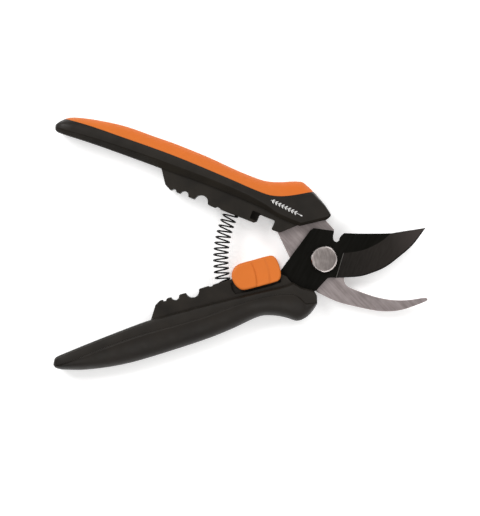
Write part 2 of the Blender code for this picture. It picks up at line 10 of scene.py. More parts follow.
import bmesh
import bpy
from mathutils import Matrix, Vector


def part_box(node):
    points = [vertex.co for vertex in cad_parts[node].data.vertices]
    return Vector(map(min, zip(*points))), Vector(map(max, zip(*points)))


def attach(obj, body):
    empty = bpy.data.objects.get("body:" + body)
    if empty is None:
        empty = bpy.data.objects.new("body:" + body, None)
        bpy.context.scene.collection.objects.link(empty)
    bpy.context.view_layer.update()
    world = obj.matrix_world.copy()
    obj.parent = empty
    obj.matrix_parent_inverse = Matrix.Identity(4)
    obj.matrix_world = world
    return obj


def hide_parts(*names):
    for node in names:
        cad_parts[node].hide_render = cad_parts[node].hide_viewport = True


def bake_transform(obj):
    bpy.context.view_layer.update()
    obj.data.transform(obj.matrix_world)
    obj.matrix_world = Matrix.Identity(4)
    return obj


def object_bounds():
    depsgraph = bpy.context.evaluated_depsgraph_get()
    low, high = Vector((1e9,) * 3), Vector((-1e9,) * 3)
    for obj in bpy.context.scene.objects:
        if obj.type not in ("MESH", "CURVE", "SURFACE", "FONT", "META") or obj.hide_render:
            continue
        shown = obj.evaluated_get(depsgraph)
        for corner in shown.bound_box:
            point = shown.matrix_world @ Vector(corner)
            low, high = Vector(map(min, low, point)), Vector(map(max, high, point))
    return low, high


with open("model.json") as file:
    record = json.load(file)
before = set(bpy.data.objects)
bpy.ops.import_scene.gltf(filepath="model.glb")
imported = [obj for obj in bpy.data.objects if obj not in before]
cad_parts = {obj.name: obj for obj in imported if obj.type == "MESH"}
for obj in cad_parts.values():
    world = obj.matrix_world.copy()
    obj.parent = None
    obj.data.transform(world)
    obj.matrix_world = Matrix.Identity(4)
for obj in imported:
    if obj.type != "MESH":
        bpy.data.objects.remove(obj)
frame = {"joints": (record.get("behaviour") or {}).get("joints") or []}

CAD_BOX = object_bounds()

MM = 0.001
GAP = 0.3
SEAM = 0.04


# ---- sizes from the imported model

def heights(node):
    """The lowest and highest point of a node, in millimetres."""
    low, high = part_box(node)
    return low[2] / MM, high[2] / MM


def open_angle():
    hinge = next(joint for joint in frame["joints"] if joint["name"] == "handle_squeeze")
    return hinge["range_deg"][1]


OPEN_ANGLE = open_angle()
COVER_LOW, COVER_HIGH = heights("upper_cover")
MIDDLE = (COVER_LOW + COVER_HIGH) / 2
HANDLE_HALF = (COVER_HIGH - COVER_LOW) / 2
FRAME_LOW, FRAME_HIGH = heights("upper_frame")
FRAME_HALF = (FRAME_HIGH - FRAME_LOW) / 2
BLADE_BACK, BLADE_FRONT = heights("cutting_blade")
HOOK_BACK, HOOK_FRONT = heights("hook_blade")
BOLT_LOW, BOLT_HIGH = heights("pivot_bolt")
WASHER_LOW, WASHER_HIGH = heights("pivot_washer")
NUT_LOW, NUT_HIGH = heights("pivot_nut")
LOCK_HIGH = heights("lock_slider")[1]


# ---- plan sizes, most of them as in the CAD model

GRIP_LENGTH = 56.0
BLADE_REACH = 53.3
RIB_END = 93.0
CORNER_REACH = 84.3
NOTCHES = ((82.0, 1.1), (76.5, 2.1), (67.5, 3.4))
LOWER_RIB_EDGE = -3.6
UPPER_RIB_EDGE = 4.2
RIB_FACE = 37.9
LUG_FACE = 29.9
SHANK_RADIUS = 4.0
BOLT_HEAD_RADIUS = 6.5
BOLT_HEAD_HEIGHT = 1.8
WASHER_RADIUS = 6.2
NUT_FLAT = 5.8
HEEL_RADIUS = 16.9
HEEL_STOP_ANGLE = 62.2
SPRING_PLACE = 51.5
SPRING_RADIUS = 3.55
WIRE_RADIUS = 0.41
VISIBLE_PITCH = 2.78
POCKET_TURNS = 0.8
SPRING_PHASE = -0.43
POCKET_DEPTH = 7.0
POCKET_RADIUS = SPRING_RADIUS + WIRE_RADIUS + GAP
LOCK_CENTRE = (34.55, -3.0)
FILLET_STEPS = 5
CLEAR_CORNER = math.radians(155)


def on_grip(share):
    return RIB_END + share * GRIP_LENGTH


def grip_points(*points):
    """Points whose u is given as a share of the grip's length."""
    return [(on_grip(share), v) for share, v in points]


def blade_points(*points):
    """Points whose u is given as a share of the blade's reach."""
    return [(-share * BLADE_REACH, v) for share, v in points]


def clamp(value):
    return min(1.0, max(0.0, value))


# ---- lines

def between(before, start, end, after, t):
    """One coordinate on a smooth curve, a share t of the way from start to end."""
    bend = 2 * before - 5 * start + 4 * end - after
    twist = 3 * start - before - 3 * end + after
    return 0.5 * (2 * start + (end - before) * t + bend * t**2 + twist * t**3)


def curve(points, steps=12):
    """A smooth curve through the points, with this many steps from each to the next."""
    ends = [points[0]] + list(points) + [points[-1]]
    made = []
    for before, start, end, after in zip(ends, ends[1:], ends[2:], ends[3:]):
        for step in range(steps):
            t = step / steps
            made.append(tuple(between(*along, t) for along in zip(before, start, end, after)))
    return made + [points[-1]]


def spaced(points, count):
    """This many points at equal distances along a line through the points."""
    lengths = [0.0]
    for start, end in zip(points, points[1:]):
        lengths.append(lengths[-1] + math.dist(start, end))
    made = []
    place = 0
    for index in range(count):
        reach = lengths[-1] * index / (count - 1)
        while place < len(points) - 2 and lengths[place + 1] <= reach:
            place += 1
        share = (reach - lengths[place]) / (lengths[place + 1] - lengths[place])
        made.append(tuple(a + (b - a) * share for a, b in zip(points[place], points[place + 1])))
    return made


def height_at(points, u):
    """The v of a line through the points, at this u."""
    for (u0, v0), (u1, v1) in zip(points, points[1:]):
        if u <= u1:
            return v0 + (v1 - v0) * (u - u0) / (u1 - u0)
    return points[-1][1]


def circle(radius, sides, centre=(0, 0)):
    return arc(centre, radius, 0, 360, sides)[:-1]


def corners(outline):
    """Each point of a closed outline, between the points before and after it."""
    return zip(outline[-1:] + outline[:-1], outline, outline[1:] + outline[:1])


def unit(vector):
    size = math.hypot(*vector)
    return [value / size for value in vector]


def grown(outline, gap):
    """The outline with each side moved outward by the gap, or inward by a negative gap."""
    area = sum(a[0] * b[1] - b[0] * a[1] for a, b in zip(outline, outline[1:] + outline[:1]))
    side = math.copysign(1, area) * gap
    made = []
    for before, here, after in corners(outline):
        one = unit((here[1] - before[1], before[0] - here[0]))
        two = unit((after[1] - here[1], here[0] - after[0]))
        reach = side / max(0.4, 1 + one[0] * two[0] + one[1] * two[1])
        made.append((here[0] + (one[0] + two[0]) * reach, here[1] + (one[1] + two[1]) * reach))
    return made


def arc(centre, radius, start, end, steps):
    """Points on an arc, both ends included. Angles are in degrees."""
    made = []
    for step in range(steps + 1):
        angle = math.radians(start + (end - start) * step / steps)
        made.append((centre[0] + radius * math.cos(angle), centre[1] + radius * math.sin(angle)))
    return made


def filleted(outline, radius):
    """The outline with each clear corner rounded, by no more than its sides have room for."""
    made = []
    for before, here, after in corners(outline):
        first = math.dist(before, here)
        second = math.dist(here, after)
        one = unit((before[0] - here[0], before[1] - here[1]))
        two = unit((after[0] - here[0], after[1] - here[1]))
        inside = math.acos(max(-1, min(1, one[0] * two[0] + one[1] * two[1])))
        if inside > CLEAR_CORNER:
            made.append(here)
            continue
        reach = min(radius / math.tan(inside / 2), first * 0.45, second * 0.45)
        start = (here[0] + one[0] * reach, here[1] + one[1] * reach)
        end = (here[0] + two[0] * reach, here[1] + two[1] * reach)
        for step in range(FILLET_STEPS + 1):
            t = step / FILLET_STEPS
            made.append(tuple(
                (1 - t) ** 2 * a + 2 * t * (1 - t) * h + t**2 * b for a, h, b in zip(start, here, end)
            ))
    return made


def rectangle(u0, u1, v0, v1):
    return [(u0, v0), (u1, v0), (u1, v1), (u0, v1)]


# ---- meshes

class Half:
    """The plan of one half: the way its u points in the world and the side that its v is on."""

    def __init__(self, turn, side):
        self.along = (math.cos(math.radians(turn)), math.sin(math.radians(turn)))
        self.out = (-self.along[1] * side, self.along[0] * side)

    def point(self, u, v, z):
        x = u * self.along[0] + v * self.out[0]
        y = u * self.along[1] + v * self.out[1]
        return (x * MM, y * MM, z * MM)


LOWER = Half(180 + OPEN_ANGLE / 2, 1)
UPPER = Half(180 - OPEN_ANGLE / 2, -1)


def linked(name, data):
    """A new object in the scene."""
    made = bpy.data.objects.new(name, data)
    bpy.context.scene.collection.objects.link(made)
    return made


def solid(name, half, points, faces, looks=(), face_looks=None):
    """An object from (u, v, height) points and the faces between them, all turned outward."""
    mesh = bpy.data.meshes.new(name)
    mesh.from_pydata([half.point(*p) for p in points], [], faces)
    if face_looks:
        mesh.polygons.foreach_set("material_index", face_looks)
    shape = bmesh.new()
    shape.from_mesh(mesh)
    bmesh.ops.recalc_face_normals(shape, faces=shape.faces)
    shape.to_mesh(mesh)
    shape.free()
    for look in looks:
        mesh.materials.append(look)
    return linked(name, mesh)


def lofted(name, half, sections, looks=(), row_looks=None, hollow=False):
    """A solid through rings of equal count. When hollow, the last ring joins the first, with no end faces."""
    count = len(sections[0])
    points = [p for section in sections for p in section]
    faces = []
    rows = len(sections)
    if not hollow:
        faces = [list(range(count)), list(range(len(points) - count, len(points)))]
        rows -= 1
    for ring in range(rows):
        low = ring * count
        high = (ring + 1) % len(sections) * count
        for i in range(count):
            after = (i + 1) % count
            faces.append([low + i, low + after, high + after, high + i])
    face_looks = [0, 0] + row_looks * rows if row_looks else None
    return solid(name, half, points, faces, looks, face_looks)


RIM_INSET = 0.12


def quarter(radius, steps):
    """How far in and how far down each point of a rounded rim lies, from the flat face to the side."""
    turns = [math.radians(90 * step / steps) for step in range(steps + 1)]
    return [(radius * (1 - math.sin(turn)), radius * (1 - math.cos(turn))) for turn in turns]


def plate(name, half, outline, low, high, looks=(), radius=0.0, steps=4):
    """A flat plate between two heights, whose upper and lower edges are rounded by the radius."""
    if not radius:
        return lofted(name, half, [[(u, v, z) for u, v in outline] for z in (low, high)], looks)
    levels = [(radius + RIM_INSET, 0.0)] + quarter(radius, steps)
    rings = []
    for inset, rise in levels:
        rings.append([(u, v, low + rise) for u, v in grown(outline, -inset)])
    for inset, rise in reversed(levels):
        rings.append([(u, v, high - rise) for u, v in grown(outline, -inset)])
    return lofted(name, half, rings, looks)


def turned(name, half, profile, sides, looks=()):
    """A round solid about the pivot's axis, from (radius, height) pairs."""
    rings = [[(u, v, z) for u, v in circle(r, sides)] for r, z in profile]
    return lofted(name, half, rings, looks)


def settle(piece):
    """Applies the piece's modifiers to its mesh."""
    graph = bpy.context.evaluated_depsgraph_get()
    result = bpy.data.meshes.new_from_object(piece.evaluated_get(graph))
    piece.modifiers.clear()
    old = piece.data
    piece.data = result
    result.name = piece.name
    bpy.data.meshes.remove(old)


def combine(piece, other, operation):
    """Cuts another solid out of the piece, or joins it on, for good, and removes the other."""
    change = piece.modifiers.new("combine", "BOOLEAN")
    change.operation = operation
    change.object = other
    settle(piece)
    bpy.data.objects.remove(other)


def cut(piece, cutter):
    combine(piece, cutter, "DIFFERENCE")


def bore(piece, half):
    """Cuts the round hole for the pivot's shank."""
    radius = SHANK_RADIUS + GAP
    cut(piece, turned("hole", half, [(radius, 0), (radius, 2 * MIDDLE)], 64))


def shade(piece, degrees):
    """Smooth shading with sharp edges above this angle. Large faces stay flat up to their rounded rims."""
    piece.data.shade_smooth()
    piece.data.set_sharp_from_angle(angle=math.radians(degrees))
    weights = piece.modifiers.new("weights", "WEIGHTED_NORMAL")
    weights.keep_sharp = True
    settle(piece)
    return piece


def place(piece, body, slot, *nodes):
    """Parents a finished piece to its body's empty and hides any imported nodes that it replaces."""
    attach(piece, body)
    if nodes:
        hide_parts(*nodes)


# ---- materials

def fill(node, values):
    """Sets a node's inputs by name."""
    for name, value in values.items():
        node.inputs[name].default_value = value


class Look:
    """A material whose colour, roughness and bump come from nodes in the piece's own coordinates."""

    def __init__(self, name, roughness, metallic=0.0, specular=0.5):
        self.material = bpy.data.materials.new(name)
        self.material.use_nodes = True
        self.nodes = self.material.node_tree.nodes
        self.links = self.material.node_tree.links
        self.shader = self.nodes["Principled BSDF"]
        fill(self.shader, {"Roughness": roughness, "Metallic": metallic, "Specular IOR Level": specular})
        self.place = self.nodes.new("ShaderNodeTexCoord").outputs["Object"]

    def noise(self, scale, detail, stretch=None, turn=0.0, roughness=0.5):
        """Noise with this many grains per metre, stretched along a turned direction."""
        made = self.nodes.new("ShaderNodeTexNoise")
        fill(made, {"Scale": scale, "Detail": detail, "Roughness": roughness})
        source = self.place
        if stretch:
            spin = self.nodes.new("ShaderNodeMapping")
            fill(spin, {"Rotation": (0, 0, -math.radians(turn))})
            self.links.new(self.place, spin.inputs["Vector"])
            squeeze = self.nodes.new("ShaderNodeMapping")
            fill(squeeze, {"Scale": stretch})
            self.links.new(spin.outputs["Vector"], squeeze.inputs["Vector"])
            source = squeeze.outputs["Vector"]
        self.links.new(source, made.inputs["Vector"])
        return made.outputs["Fac"]

    def ramp(self, source, *stops):
        """A colour or grey for each value of the source, from (value, colour) pairs."""
        made = self.nodes.new("ShaderNodeValToRGB")
        line = made.color_ramp
        while len(line.elements) < len(stops):
            line.elements.new(0.5)
        for element, (value, colour) in zip(line.elements, stops):
            element.position = value
            element.color = (*colour, 1) if isinstance(colour, tuple) else (colour, colour, colour, 1)
        self.links.new(source, made.inputs["Fac"])
        return made.outputs["Color"]

    def mix(self, share, first, second):
        """Two colours mixed, by a share that is a number or a socket."""
        made = self.nodes.new("ShaderNodeMix")
        made.data_type = "RGBA"
        for socket, value in zip((made.inputs[0], made.inputs[6], made.inputs[7]), (share, first, second)):
            if isinstance(value, bpy.types.NodeSocket):
                self.links.new(value, socket)
            elif isinstance(value, tuple):
                socket.default_value = (*value, 1)
            else:
                socket.default_value = value
        return made.outputs[2]

    def along(self, direction, start, end):
        """A value that runs from 0 to 1 between two distances along a direction, in millimetres."""
        dot = self.nodes.new("ShaderNodeVectorMath")
        dot.operation = "DOT_PRODUCT"
        dot.inputs[1].default_value = direction
        self.links.new(self.place, dot.inputs[0])
        made = self.nodes.new("ShaderNodeMapRange")
        fill(made, {"From Min": start * MM, "From Max": end * MM})
        self.links.new(dot.outputs["Value"], made.inputs["Value"])
        return made.outputs["Result"]

    def colour(self, source):
        self.links.new(source, self.shader.inputs["Base Color"])

    def rough(self, source, low, high):
        """Roughness that follows the middle of a noise's range."""
        grey = self.ramp(source, (0.3, low), (0.7, high))
        self.links.new(grey, self.shader.inputs["Roughness"])

    def bump(self, source, depth):
        """Adds fine relief, this many millimetres deep."""
        made = self.nodes.new("ShaderNodeBump")
        fill(made, {"Strength": 1.0, "Distance": depth * MM})
        self.links.new(source, made.inputs["Height"])
        before = self.shader.inputs["Normal"].links
        if before:
            self.links.new(before[0].from_socket, made.inputs["Normal"])
        self.links.new(made.outputs["Normal"], self.shader.inputs["Normal"])


def moulded(name, colour, grain, depth, roughness, specular, blotch=0.25):
    """Moulded plastic or rubber: fine grain, faint blotches and uneven gloss."""
    made = Look(name, roughness, specular=specular)
    light = tuple(min(1, c * (1 + blotch)) for c in colour)
    dark = tuple(c * (1 - blotch) for c in colour)
    made.colour(made.ramp(made.noise(90, 4), (0.3, dark), (0.7, light)))
    made.rough(made.noise(220, 3), roughness - 0.06, roughness + 0.06)
    made.bump(made.noise(grain, 2, roughness=0.6), depth)
    return made.material


def speckled(name, roughness, grains, dark, light, relief, metallic=0.0, specular=0.5, top=0.7):
    """Fine speckles between two colours. The relief is given as its grains per metre and its depth."""
    made = Look(name, roughness, metallic, specular)
    made.colour(made.ramp(made.noise(grains, 3), (0.3, dark), (top, light)))
    made.bump(made.noise(relief[0], 2), relief[1])
    return made


def orange_rubber():
    """Orange rubber, painted darker and redder towards the band's outer edge, as shade on its rounded back.
    """
    made = Look("grip_orange", 0.5, specular=0.12)
    # painted shade: the colour darkens and reddens towards the band's outer edge, where the rounded back
    # turns from the light
    outward = made.along((*UPPER.out, 0), 17, 27)
    base = made.ramp(outward, (0.0, (0.56, 0.152, 0.027)), (1.0, (0.60, 0.130, 0.018)))
    patches = made.ramp(made.noise(90, 4), (0.3, (0.54, 0.134, 0.020)), (0.7, (0.60, 0.150, 0.025)))
    made.colour(made.mix(0.4, base, patches))
    made.rough(made.noise(220, 3), 0.44, 0.56)
    made.bump(made.noise(1700, 2, roughness=0.6), 0.012)
    return made.material


def coated_steel():
    """Black low-friction coating over ground steel, with faint grinding marks."""
    made = Look("coated_steel_flat", 0.5, specular=0.04)
    marks = made.noise(900, 3, stretch=(0.12, 1, 1), turn=64)
    base = made.ramp(made.noise(70, 4), (0.3, (0.0035, 0.0032, 0.0022)), (0.75, (0.0065, 0.006, 0.0045)))
    made.colour(made.mix(0.25, base, made.ramp(marks, (0.35, 0.002), (0.8, 0.010))))
    made.rough(marks, 0.36, 0.5)
    made.bump(marks, 0.006)
    return made.material


def ground_bevel():
    """The bevel: greyer towards the tip, with marks across the blade."""
    made = Look("coated_steel_bevel", 0.45, specular=0.08)
    marks = made.noise(1300, 3, stretch=(0.07, 1, 1), turn=72)
    reach = made.along((*[-c for c in LOWER.along], 0), 12, 52)
    stops = ((0.0, (0.0085, 0.0068, 0.0055)), (0.55, (0.018, 0.0148, 0.0128)), (1.0, (0.048, 0.040, 0.037)))
    base = made.ramp(reach, *stops)
    made.colour(made.mix(made.ramp(marks, (0.3, 0.0), (0.8, 0.18)), base, (0.05, 0.045, 0.042)))
    made.rough(marks, 0.34, 0.5)
    made.bump(marks, 0.006)
    return made.material


def brushed_steel():
    """Bare steel ground in one diagonal direction, with long scratches and soft tarnish."""
    made = Look("brushed_steel", 0.42, metallic=1.0)
    fine = made.noise(1500, 4, stretch=(0.06, 1, 1), turn=-44)
    broad = made.noise(420, 4, stretch=(0.12, 1, 1), turn=-38)
    cloud = made.noise(150, 5)
    base = made.ramp(cloud, (0.3, (0.26, 0.222, 0.218)), (0.7, (0.385, 0.333, 0.33)))
    streak = made.mix(made.ramp(broad, (0.35, 0.0), (0.75, 0.6)), base, (0.50, 0.44, 0.435))
    made.colour(made.mix(made.ramp(fine, (0.35, 0.4), (0.6, 0.0)), streak, (0.20, 0.17, 0.167)))
    made.rough(fine, 0.34, 0.5)
    made.bump(fine, 0.012)
    made.bump(broad, 0.01)
    return made.material


def pivot_steel():
    """Turned and rubbed steel, mottled, with fine scratches, and painted darker towards one side as shade."""
    made = Look("pivot_steel", 0.38, metallic=1.0)
    fine = made.noise(1400, 4, stretch=(1, 0.12, 1), turn=12)
    cloud = made.noise(230, 4)
    mottled = made.ramp(cloud, (0.3, (0.31, 0.272, 0.258)), (0.7, (0.52, 0.47, 0.45)))
    # painted shade: the head is darker towards one side, where less light falls
    across = made.along((0.87, -0.49, 0), -BOLT_HEAD_RADIUS, BOLT_HEAD_RADIUS)
    painted_shade_share = made.ramp(across, (0.1, 0.0), (0.9, 0.6))
    base = made.mix(painted_shade_share, mottled, (0.13, 0.11, 0.107))
    made.colour(made.mix(made.ramp(fine, (0.4, 0.4), (0.6, 0.0)), base, (0.19, 0.163, 0.158)))
    made.rough(fine, 0.3, 0.46)
    made.bump(fine, 0.012)
    made.bump(cloud, 0.02)
    return made.material


def spring_wire():
    """Black oxide wire with slightly rubbed spots."""
    oxide = (0.0015, 0.0015, 0.0015)
    rubbed = (0.005, 0.0045, 0.004)
    made = speckled("spring_wire", 0.4, 600, oxide, rubbed, (3000, 0.004), specular=0.06, top=0.75)
    made.rough(made.noise(900, 2), 0.26, 0.42)
    return made.material


FRAME_LOOK = moulded("frame_nylon", (0.0138, 0.0110, 0.0082), 2600, 0.03, 0.55, 0.17, 0.35)
COVER_LOOK = moulded("cover_plastic", (0.0118, 0.0094, 0.0070), 1900, 0.015, 0.42, 0.22)
# painted shade: a darker, duller black for the upper cover's lip, which faces away from the lamps
LIP_SHADE_LOOK = moulded("cover_lip_painted_shade", (0.0105, 0.0082, 0.0055), 900, 0.03, 0.6, 0.1)
BLACK_GRIP = moulded("grip_black", (0.0112, 0.0086, 0.0062), 1500, 0.015, 0.46, 0.2)
ORANGE_GRIP = orange_rubber()
ORANGE_LOCK = moulded("lock_orange", (0.60, 0.152, 0.022), 1500, 0.008, 0.42, 0.2, 0.03)
HONED_STRIP = speckled(
    "coated_steel_rim", 0.4, 400, (0.006, 0.006, 0.005), (0.012, 0.011, 0.010), (2500, 0.003), specular=0.08
)
# painted highlight: bright, slightly metallic grey on the step where the grind starts; the step is real, its
# brightness is painted light
PLUNGE_HIGHLIGHT_LOOK = speckled(
    "coated_steel_plunge_highlight", 0.35, 500, (0.10, 0.092, 0.085), (0.16, 0.148, 0.14), (2500, 0.003), metallic=0.2
)
BLADE_LOOKS = (coated_steel(), ground_bevel(), HONED_STRIP.material, PLUNGE_HIGHLIGHT_LOOK.material)
HOOK_LOOK = brushed_steel()
PIVOT_LOOK = pivot_steel()
# painted highlight: a much brighter steel for the bolt head's rounded rim
RIM_HIGHLIGHT_LOOK = speckled(
    "pivot_rim_painted_highlight", 0.25, 700, (0.62, 0.56, 0.545), (0.78, 0.72, 0.70), (1800, 0.006), metallic=1.0
).material
WIRE_LOOK = spring_wire()
MARK_LOOK = speckled(
    "printed_white", 0.5, 1500, (0.50, 0.49, 0.48), (0.70, 0.69, 0.68), (4000, 0.004), specular=0.3, top=0.6
).material


# ---- blades

CHOIL = [(-3.0, 10.6), (0.3, 9.6), (2.9, 10.7), (8.3, 14.0)]
BLADE_TANG = [(11.5, 14.2), (22, 13.2), (32, 12.0), (75, 10.8), (75, 7.0), (45, 6.3), (28, 5.0)]
BLADE_HEEL = [(22.2, -0.9), (2.4, -15.7), (0.6, -16.3), (-7.9, -12.5), (-8.7, -11.8)]
SPINE_START = (-13.4, -9.6)
SPINE_JOIN, BLADE_TIP = blade_points((0.668, -2.8), (1, -0.45))
WIRE_NOTCH = [(-7.6, -9.6), (-7.3, -8.0), (-7.7, -6.9), (-8.7, -6.4), (-9.8, -6.8), (-11, -8.3), SPINE_START]
HOOK_TANG = [(28.3, 6.5), (28.5, 9), (34, 12.3), (75, 12.8), (75, 15.4), (40, 15.8), (28, 18.3), (14, 19.8)]
HOOK_HEAD = [(2.6, 17.2), (8.5, 19.6)]
HOOK_SIDE = [(25.9, 3.6), (15.9, -5.7)]
BLADE_SPINE = [SPINE_START, *blade_points((0.377, -7.3), (0.567, -4.3)), SPINE_JOIN]
BLADE_TAIL = [SPINE_JOIN, *blade_points((0.8, -1.9)), BLADE_TIP]
BLADE_EDGE = [CHOIL[0], (-13.9, 13.3), *blade_points((0.398, 13.5), (0.54, 12.5), (0.696, 9.4), (0.84, 5.8)),
              BLADE_TIP]
BLADE_GRIND = [(-9.9, -0.1), *blade_points((0.33, 1.1), (0.44, 1.0), (0.57, -0.5)), SPINE_JOIN]
GRIND_STEPS = 60
TAIL_STEPS = 40
HONED_WIDTH = 0.7
HONED_HEIGHT = 0.3
MOST_HONED_WIDTH = 0.3
MOST_HONED_HEIGHT = 0.4
EDGE_THICKNESS = 0.12
TIP_THICKNESS = 0.4
FLAT, BEVEL, HONED, PLUNGE_HIGHLIGHT = range(4)


def honed_point(low, high):
    """Where the honed strip ends, on the way from the edge to the top of the grind."""
    width = math.dist(low[:2], high[:2])
    share = min(HONED_WIDTH, width * MOST_HONED_WIDTH) / width
    rise = min(HONED_HEIGHT, (high[2] - low[2]) * MOST_HONED_HEIGHT)
    return (low[0] + (high[0] - low[0]) * share, low[1] + (high[1] - low[1]) * share, low[2] + rise)


def bevel_faces(inner, honed, rim):
    """The faces from the top of the grind to the honed strip and on to the edge, and the look of each."""
    # the first face, at the grind's root, takes the painted highlight
    faces = [[inner[0], inner[1], honed[0], rim[0]], [rim[0], honed[0], rim[1]]]
    looks = [PLUNGE_HIGHLIGHT, HONED]
    for i in range(1, len(honed)):
        faces.append([inner[i], inner[i + 1], honed[i], honed[i - 1]])
        faces.append([honed[i - 1], honed[i], rim[i + 1], rim[i]])
        looks += [BEVEL, HONED]
    faces += [[inner[-1], rim[-1], honed[-1]], [honed[-1], rim[-1], rim[-2]]]
    return faces, looks + [BEVEL, HONED]


def cutting_blade():
    """A flat-backed blade with a long bevel, a honed strip along its edge and a plunge line at its root,
    painted as a highlight.
    """
    steps = GRIND_STEPS + TAIL_STEPS
    edge = spaced(curve(BLADE_EDGE), steps + 1)[::-1]
    tail = spaced(curve(BLADE_TAIL), TAIL_STEPS + 1)
    grind = spaced(curve(BLADE_GRIND), GRIND_STEPS + 1)
    heel = BLADE_HEEL[:1] + curve(BLADE_HEEL[1:3], 2) + curve(BLADE_HEEL[3:] + WIRE_NOTCH, 8)
    outline = edge + curve(CHOIL, 8)[1:] + BLADE_TANG + heel[:-1] + curve(BLADE_SPINE) + tail[1:-1]
    count = len(outline)
    tip = BLADE_BACK + TIP_THICKNESS
    tops = [tip] + [BLADE_BACK + EDGE_THICKNESS] * (steps - 1) + [BLADE_FRONT] * (count - steps)
    for i in range(1, TAIL_STEPS):
        tops[-i] = tip + (BLADE_FRONT - BLADE_BACK - TIP_THICKNESS) * i / TAIL_STEPS
    points = [(u, v, BLADE_BACK) for u, v in outline]
    points += [(u, v, z) for (u, v), z in zip(outline, tops)]
    points += [(u, v, BLADE_FRONT) for u, v in grind[:-1]]
    inner = [2 * count + i for i in range(GRIND_STEPS)]
    inner += [2 * count - TAIL_STEPS + i for i in range(TAIL_STEPS)]
    rim = [count + steps - i for i in range(steps + 1)]
    honed = []
    for i in range(1, steps):
        honed.append(len(points))
        points.append(honed_point(points[rim[i]], points[inner[i]]))
    faces = [list(range(count))]
    faces += [[i, (i + 1) % count, count + (i + 1) % count, count + i] for i in range(count)]
    looks = [FLAT] * len(faces)
    bevel, bevel_looks = bevel_faces(inner, honed, rim)
    flat = [count + i for i in range(steps, count - TAIL_STEPS + 1)]
    faces += bevel + [flat + inner[GRIND_STEPS - 1::-1]]
    looks += bevel_looks + [FLAT]
    made = solid("cutting_blade_ground", LOWER, points, faces, BLADE_LOOKS, looks)
    bore(made, LOWER)
    shade(made, 9)
    place(made, "lower_half", "coated_steel", "cutting_blade")


def hook_outline():
    heel = math.radians(OPEN_ANGLE + HEEL_STOP_ANGLE)
    outer = [(HEEL_RADIUS * math.cos(heel), -HEEL_RADIUS * math.sin(heel)), (-10.2, -17.3)]
    outer += blade_points((0.33, -17.1), (0.597, -14.9), (0.724, -13.0))
    outer += blade_points((0.842, -9.9), (0.95, -5.3), (1.04, -0.9))
    tip = blade_points((1.046, 0.3), (1.03, 0.8))
    inner = blade_points((0.985, -0.4), (0.869, -3.9), (0.747, -6.4), (0.615, -7.9), (0.478, -8.5))
    inner += [(-17.3, -8.5), (-14.4, -7.5)]
    lobe = [(-14.4, -7.5), (-12.9, -5.2), (-14.1, -2.0), (-14, 2), (-12.5, 7), (-8.8, 10.3), (-6, 10.2)]
    lobe += [(-3.2, 9.2), (-0.6, 10.0), (0.2, 12.5), (0.5, 15.6)]
    head = filleted(HOOK_HEAD + HOOK_TANG[::-1] + HOOK_SIDE, 0.5)
    return curve(outer, 10) + tip + curve(inner, 8)[:-1] + curve(lobe, 8) + head[6:-6] + HOOK_SIDE[-1:]


def hook_blade():
    made = plate("hook_blade_ground", UPPER, hook_outline(), HOOK_BACK, HOOK_FRONT, [HOOK_LOOK], 0.22, 2)
    bore(made, UPPER)
    shade(made, 25)
    place(made, "upper_half", "hook_steel", "hook_blade")


# ---- pivot

RING_SIDES = 96
RIM_HIGHLIGHT_WIDTH = 0.66
RIM_STEPS = ((0.0, 0.62), (0.08, 0.5), (0.45, 0.13), (0.6, 0.1), (0.72, 0.16), (0.95, 0.12))
HEAD_DOME = 0.11


def pivot_bolt():
    """A low round head, its rim painted bright as a highlight and its face very slightly domed, on a plain
    shank.
    """
    under = BOLT_HIGH - BOLT_HEAD_HEIGHT
    radius = BOLT_HEAD_RADIUS
    profile = [(SHANK_RADIUS - 0.9, BOLT_LOW), (SHANK_RADIUS - 0.5, BOLT_LOW), (SHANK_RADIUS, BOLT_LOW + 0.5)]
    profile += [(SHANK_RADIUS, under), (radius - 0.15, under), (radius, under + 0.15)]
    profile += [(radius - inset, BOLT_HIGH - drop) for inset, drop in RIM_STEPS]
    for share in (0.75, 0.55, 0.35, 0.15, 0.05):
        profile.append((radius * share, BOLT_HIGH - HEAD_DOME * share**2))
    made = turned("pivot_bolt_turned", LOWER, profile, RING_SIDES, [PIVOT_LOOK, RIM_HIGHLIGHT_LOOK])
    # faces on the head's outer rim take the painted highlight
    for face in made.data.polygons:
        reach = math.hypot(face.center.x, face.center.y) / MM
        if reach > radius - RIM_HIGHLIGHT_WIDTH and face.center.z / MM > under:
            face.material_index = 1
    shade(made, 30)
    place(made, "lower_half", "pivot_steel", "pivot_bolt")


def ring_plate(node, outside, low, high, bevel, degrees):
    """A plate with a round hole for the shank, bevelled outside and inside."""
    inside = circle(SHANK_RADIUS + GAP, RING_SIDES)
    levels = ((bevel, low), (0, low + bevel), (0, high - bevel), (bevel, high))
    rings = [[(u, v, z) for u, v in grown(outside, -inset)] for inset, z in levels]
    rings += [[(u, v, z) for u, v in grown(inside, inset)] for inset, z in reversed(levels)]
    made = shade(lofted(f"{node}_turned", LOWER, rings, [PIVOT_LOOK], hollow=True), degrees)
    place(made, "lower_half", "pivot_steel", node)


def pivot_washer():
    ring_plate("pivot_washer", circle(WASHER_RADIUS, RING_SIDES), WASHER_LOW, WASHER_HIGH, 0.12, 30)


def pivot_nut():
    """A hexagon nut."""
    outside = []
    for i in range(RING_SIDES):
        angle = 360 * i / RING_SIDES
        reach = NUT_FLAT / math.cos(math.radians(angle % 60 - 30))
        outside.append((reach * math.cos(math.radians(angle)), reach * math.sin(math.radians(angle))))
    ring_plate("pivot_nut", outside, NUT_LOW, NUT_HIGH, 0.3, 25)


# ---- frames

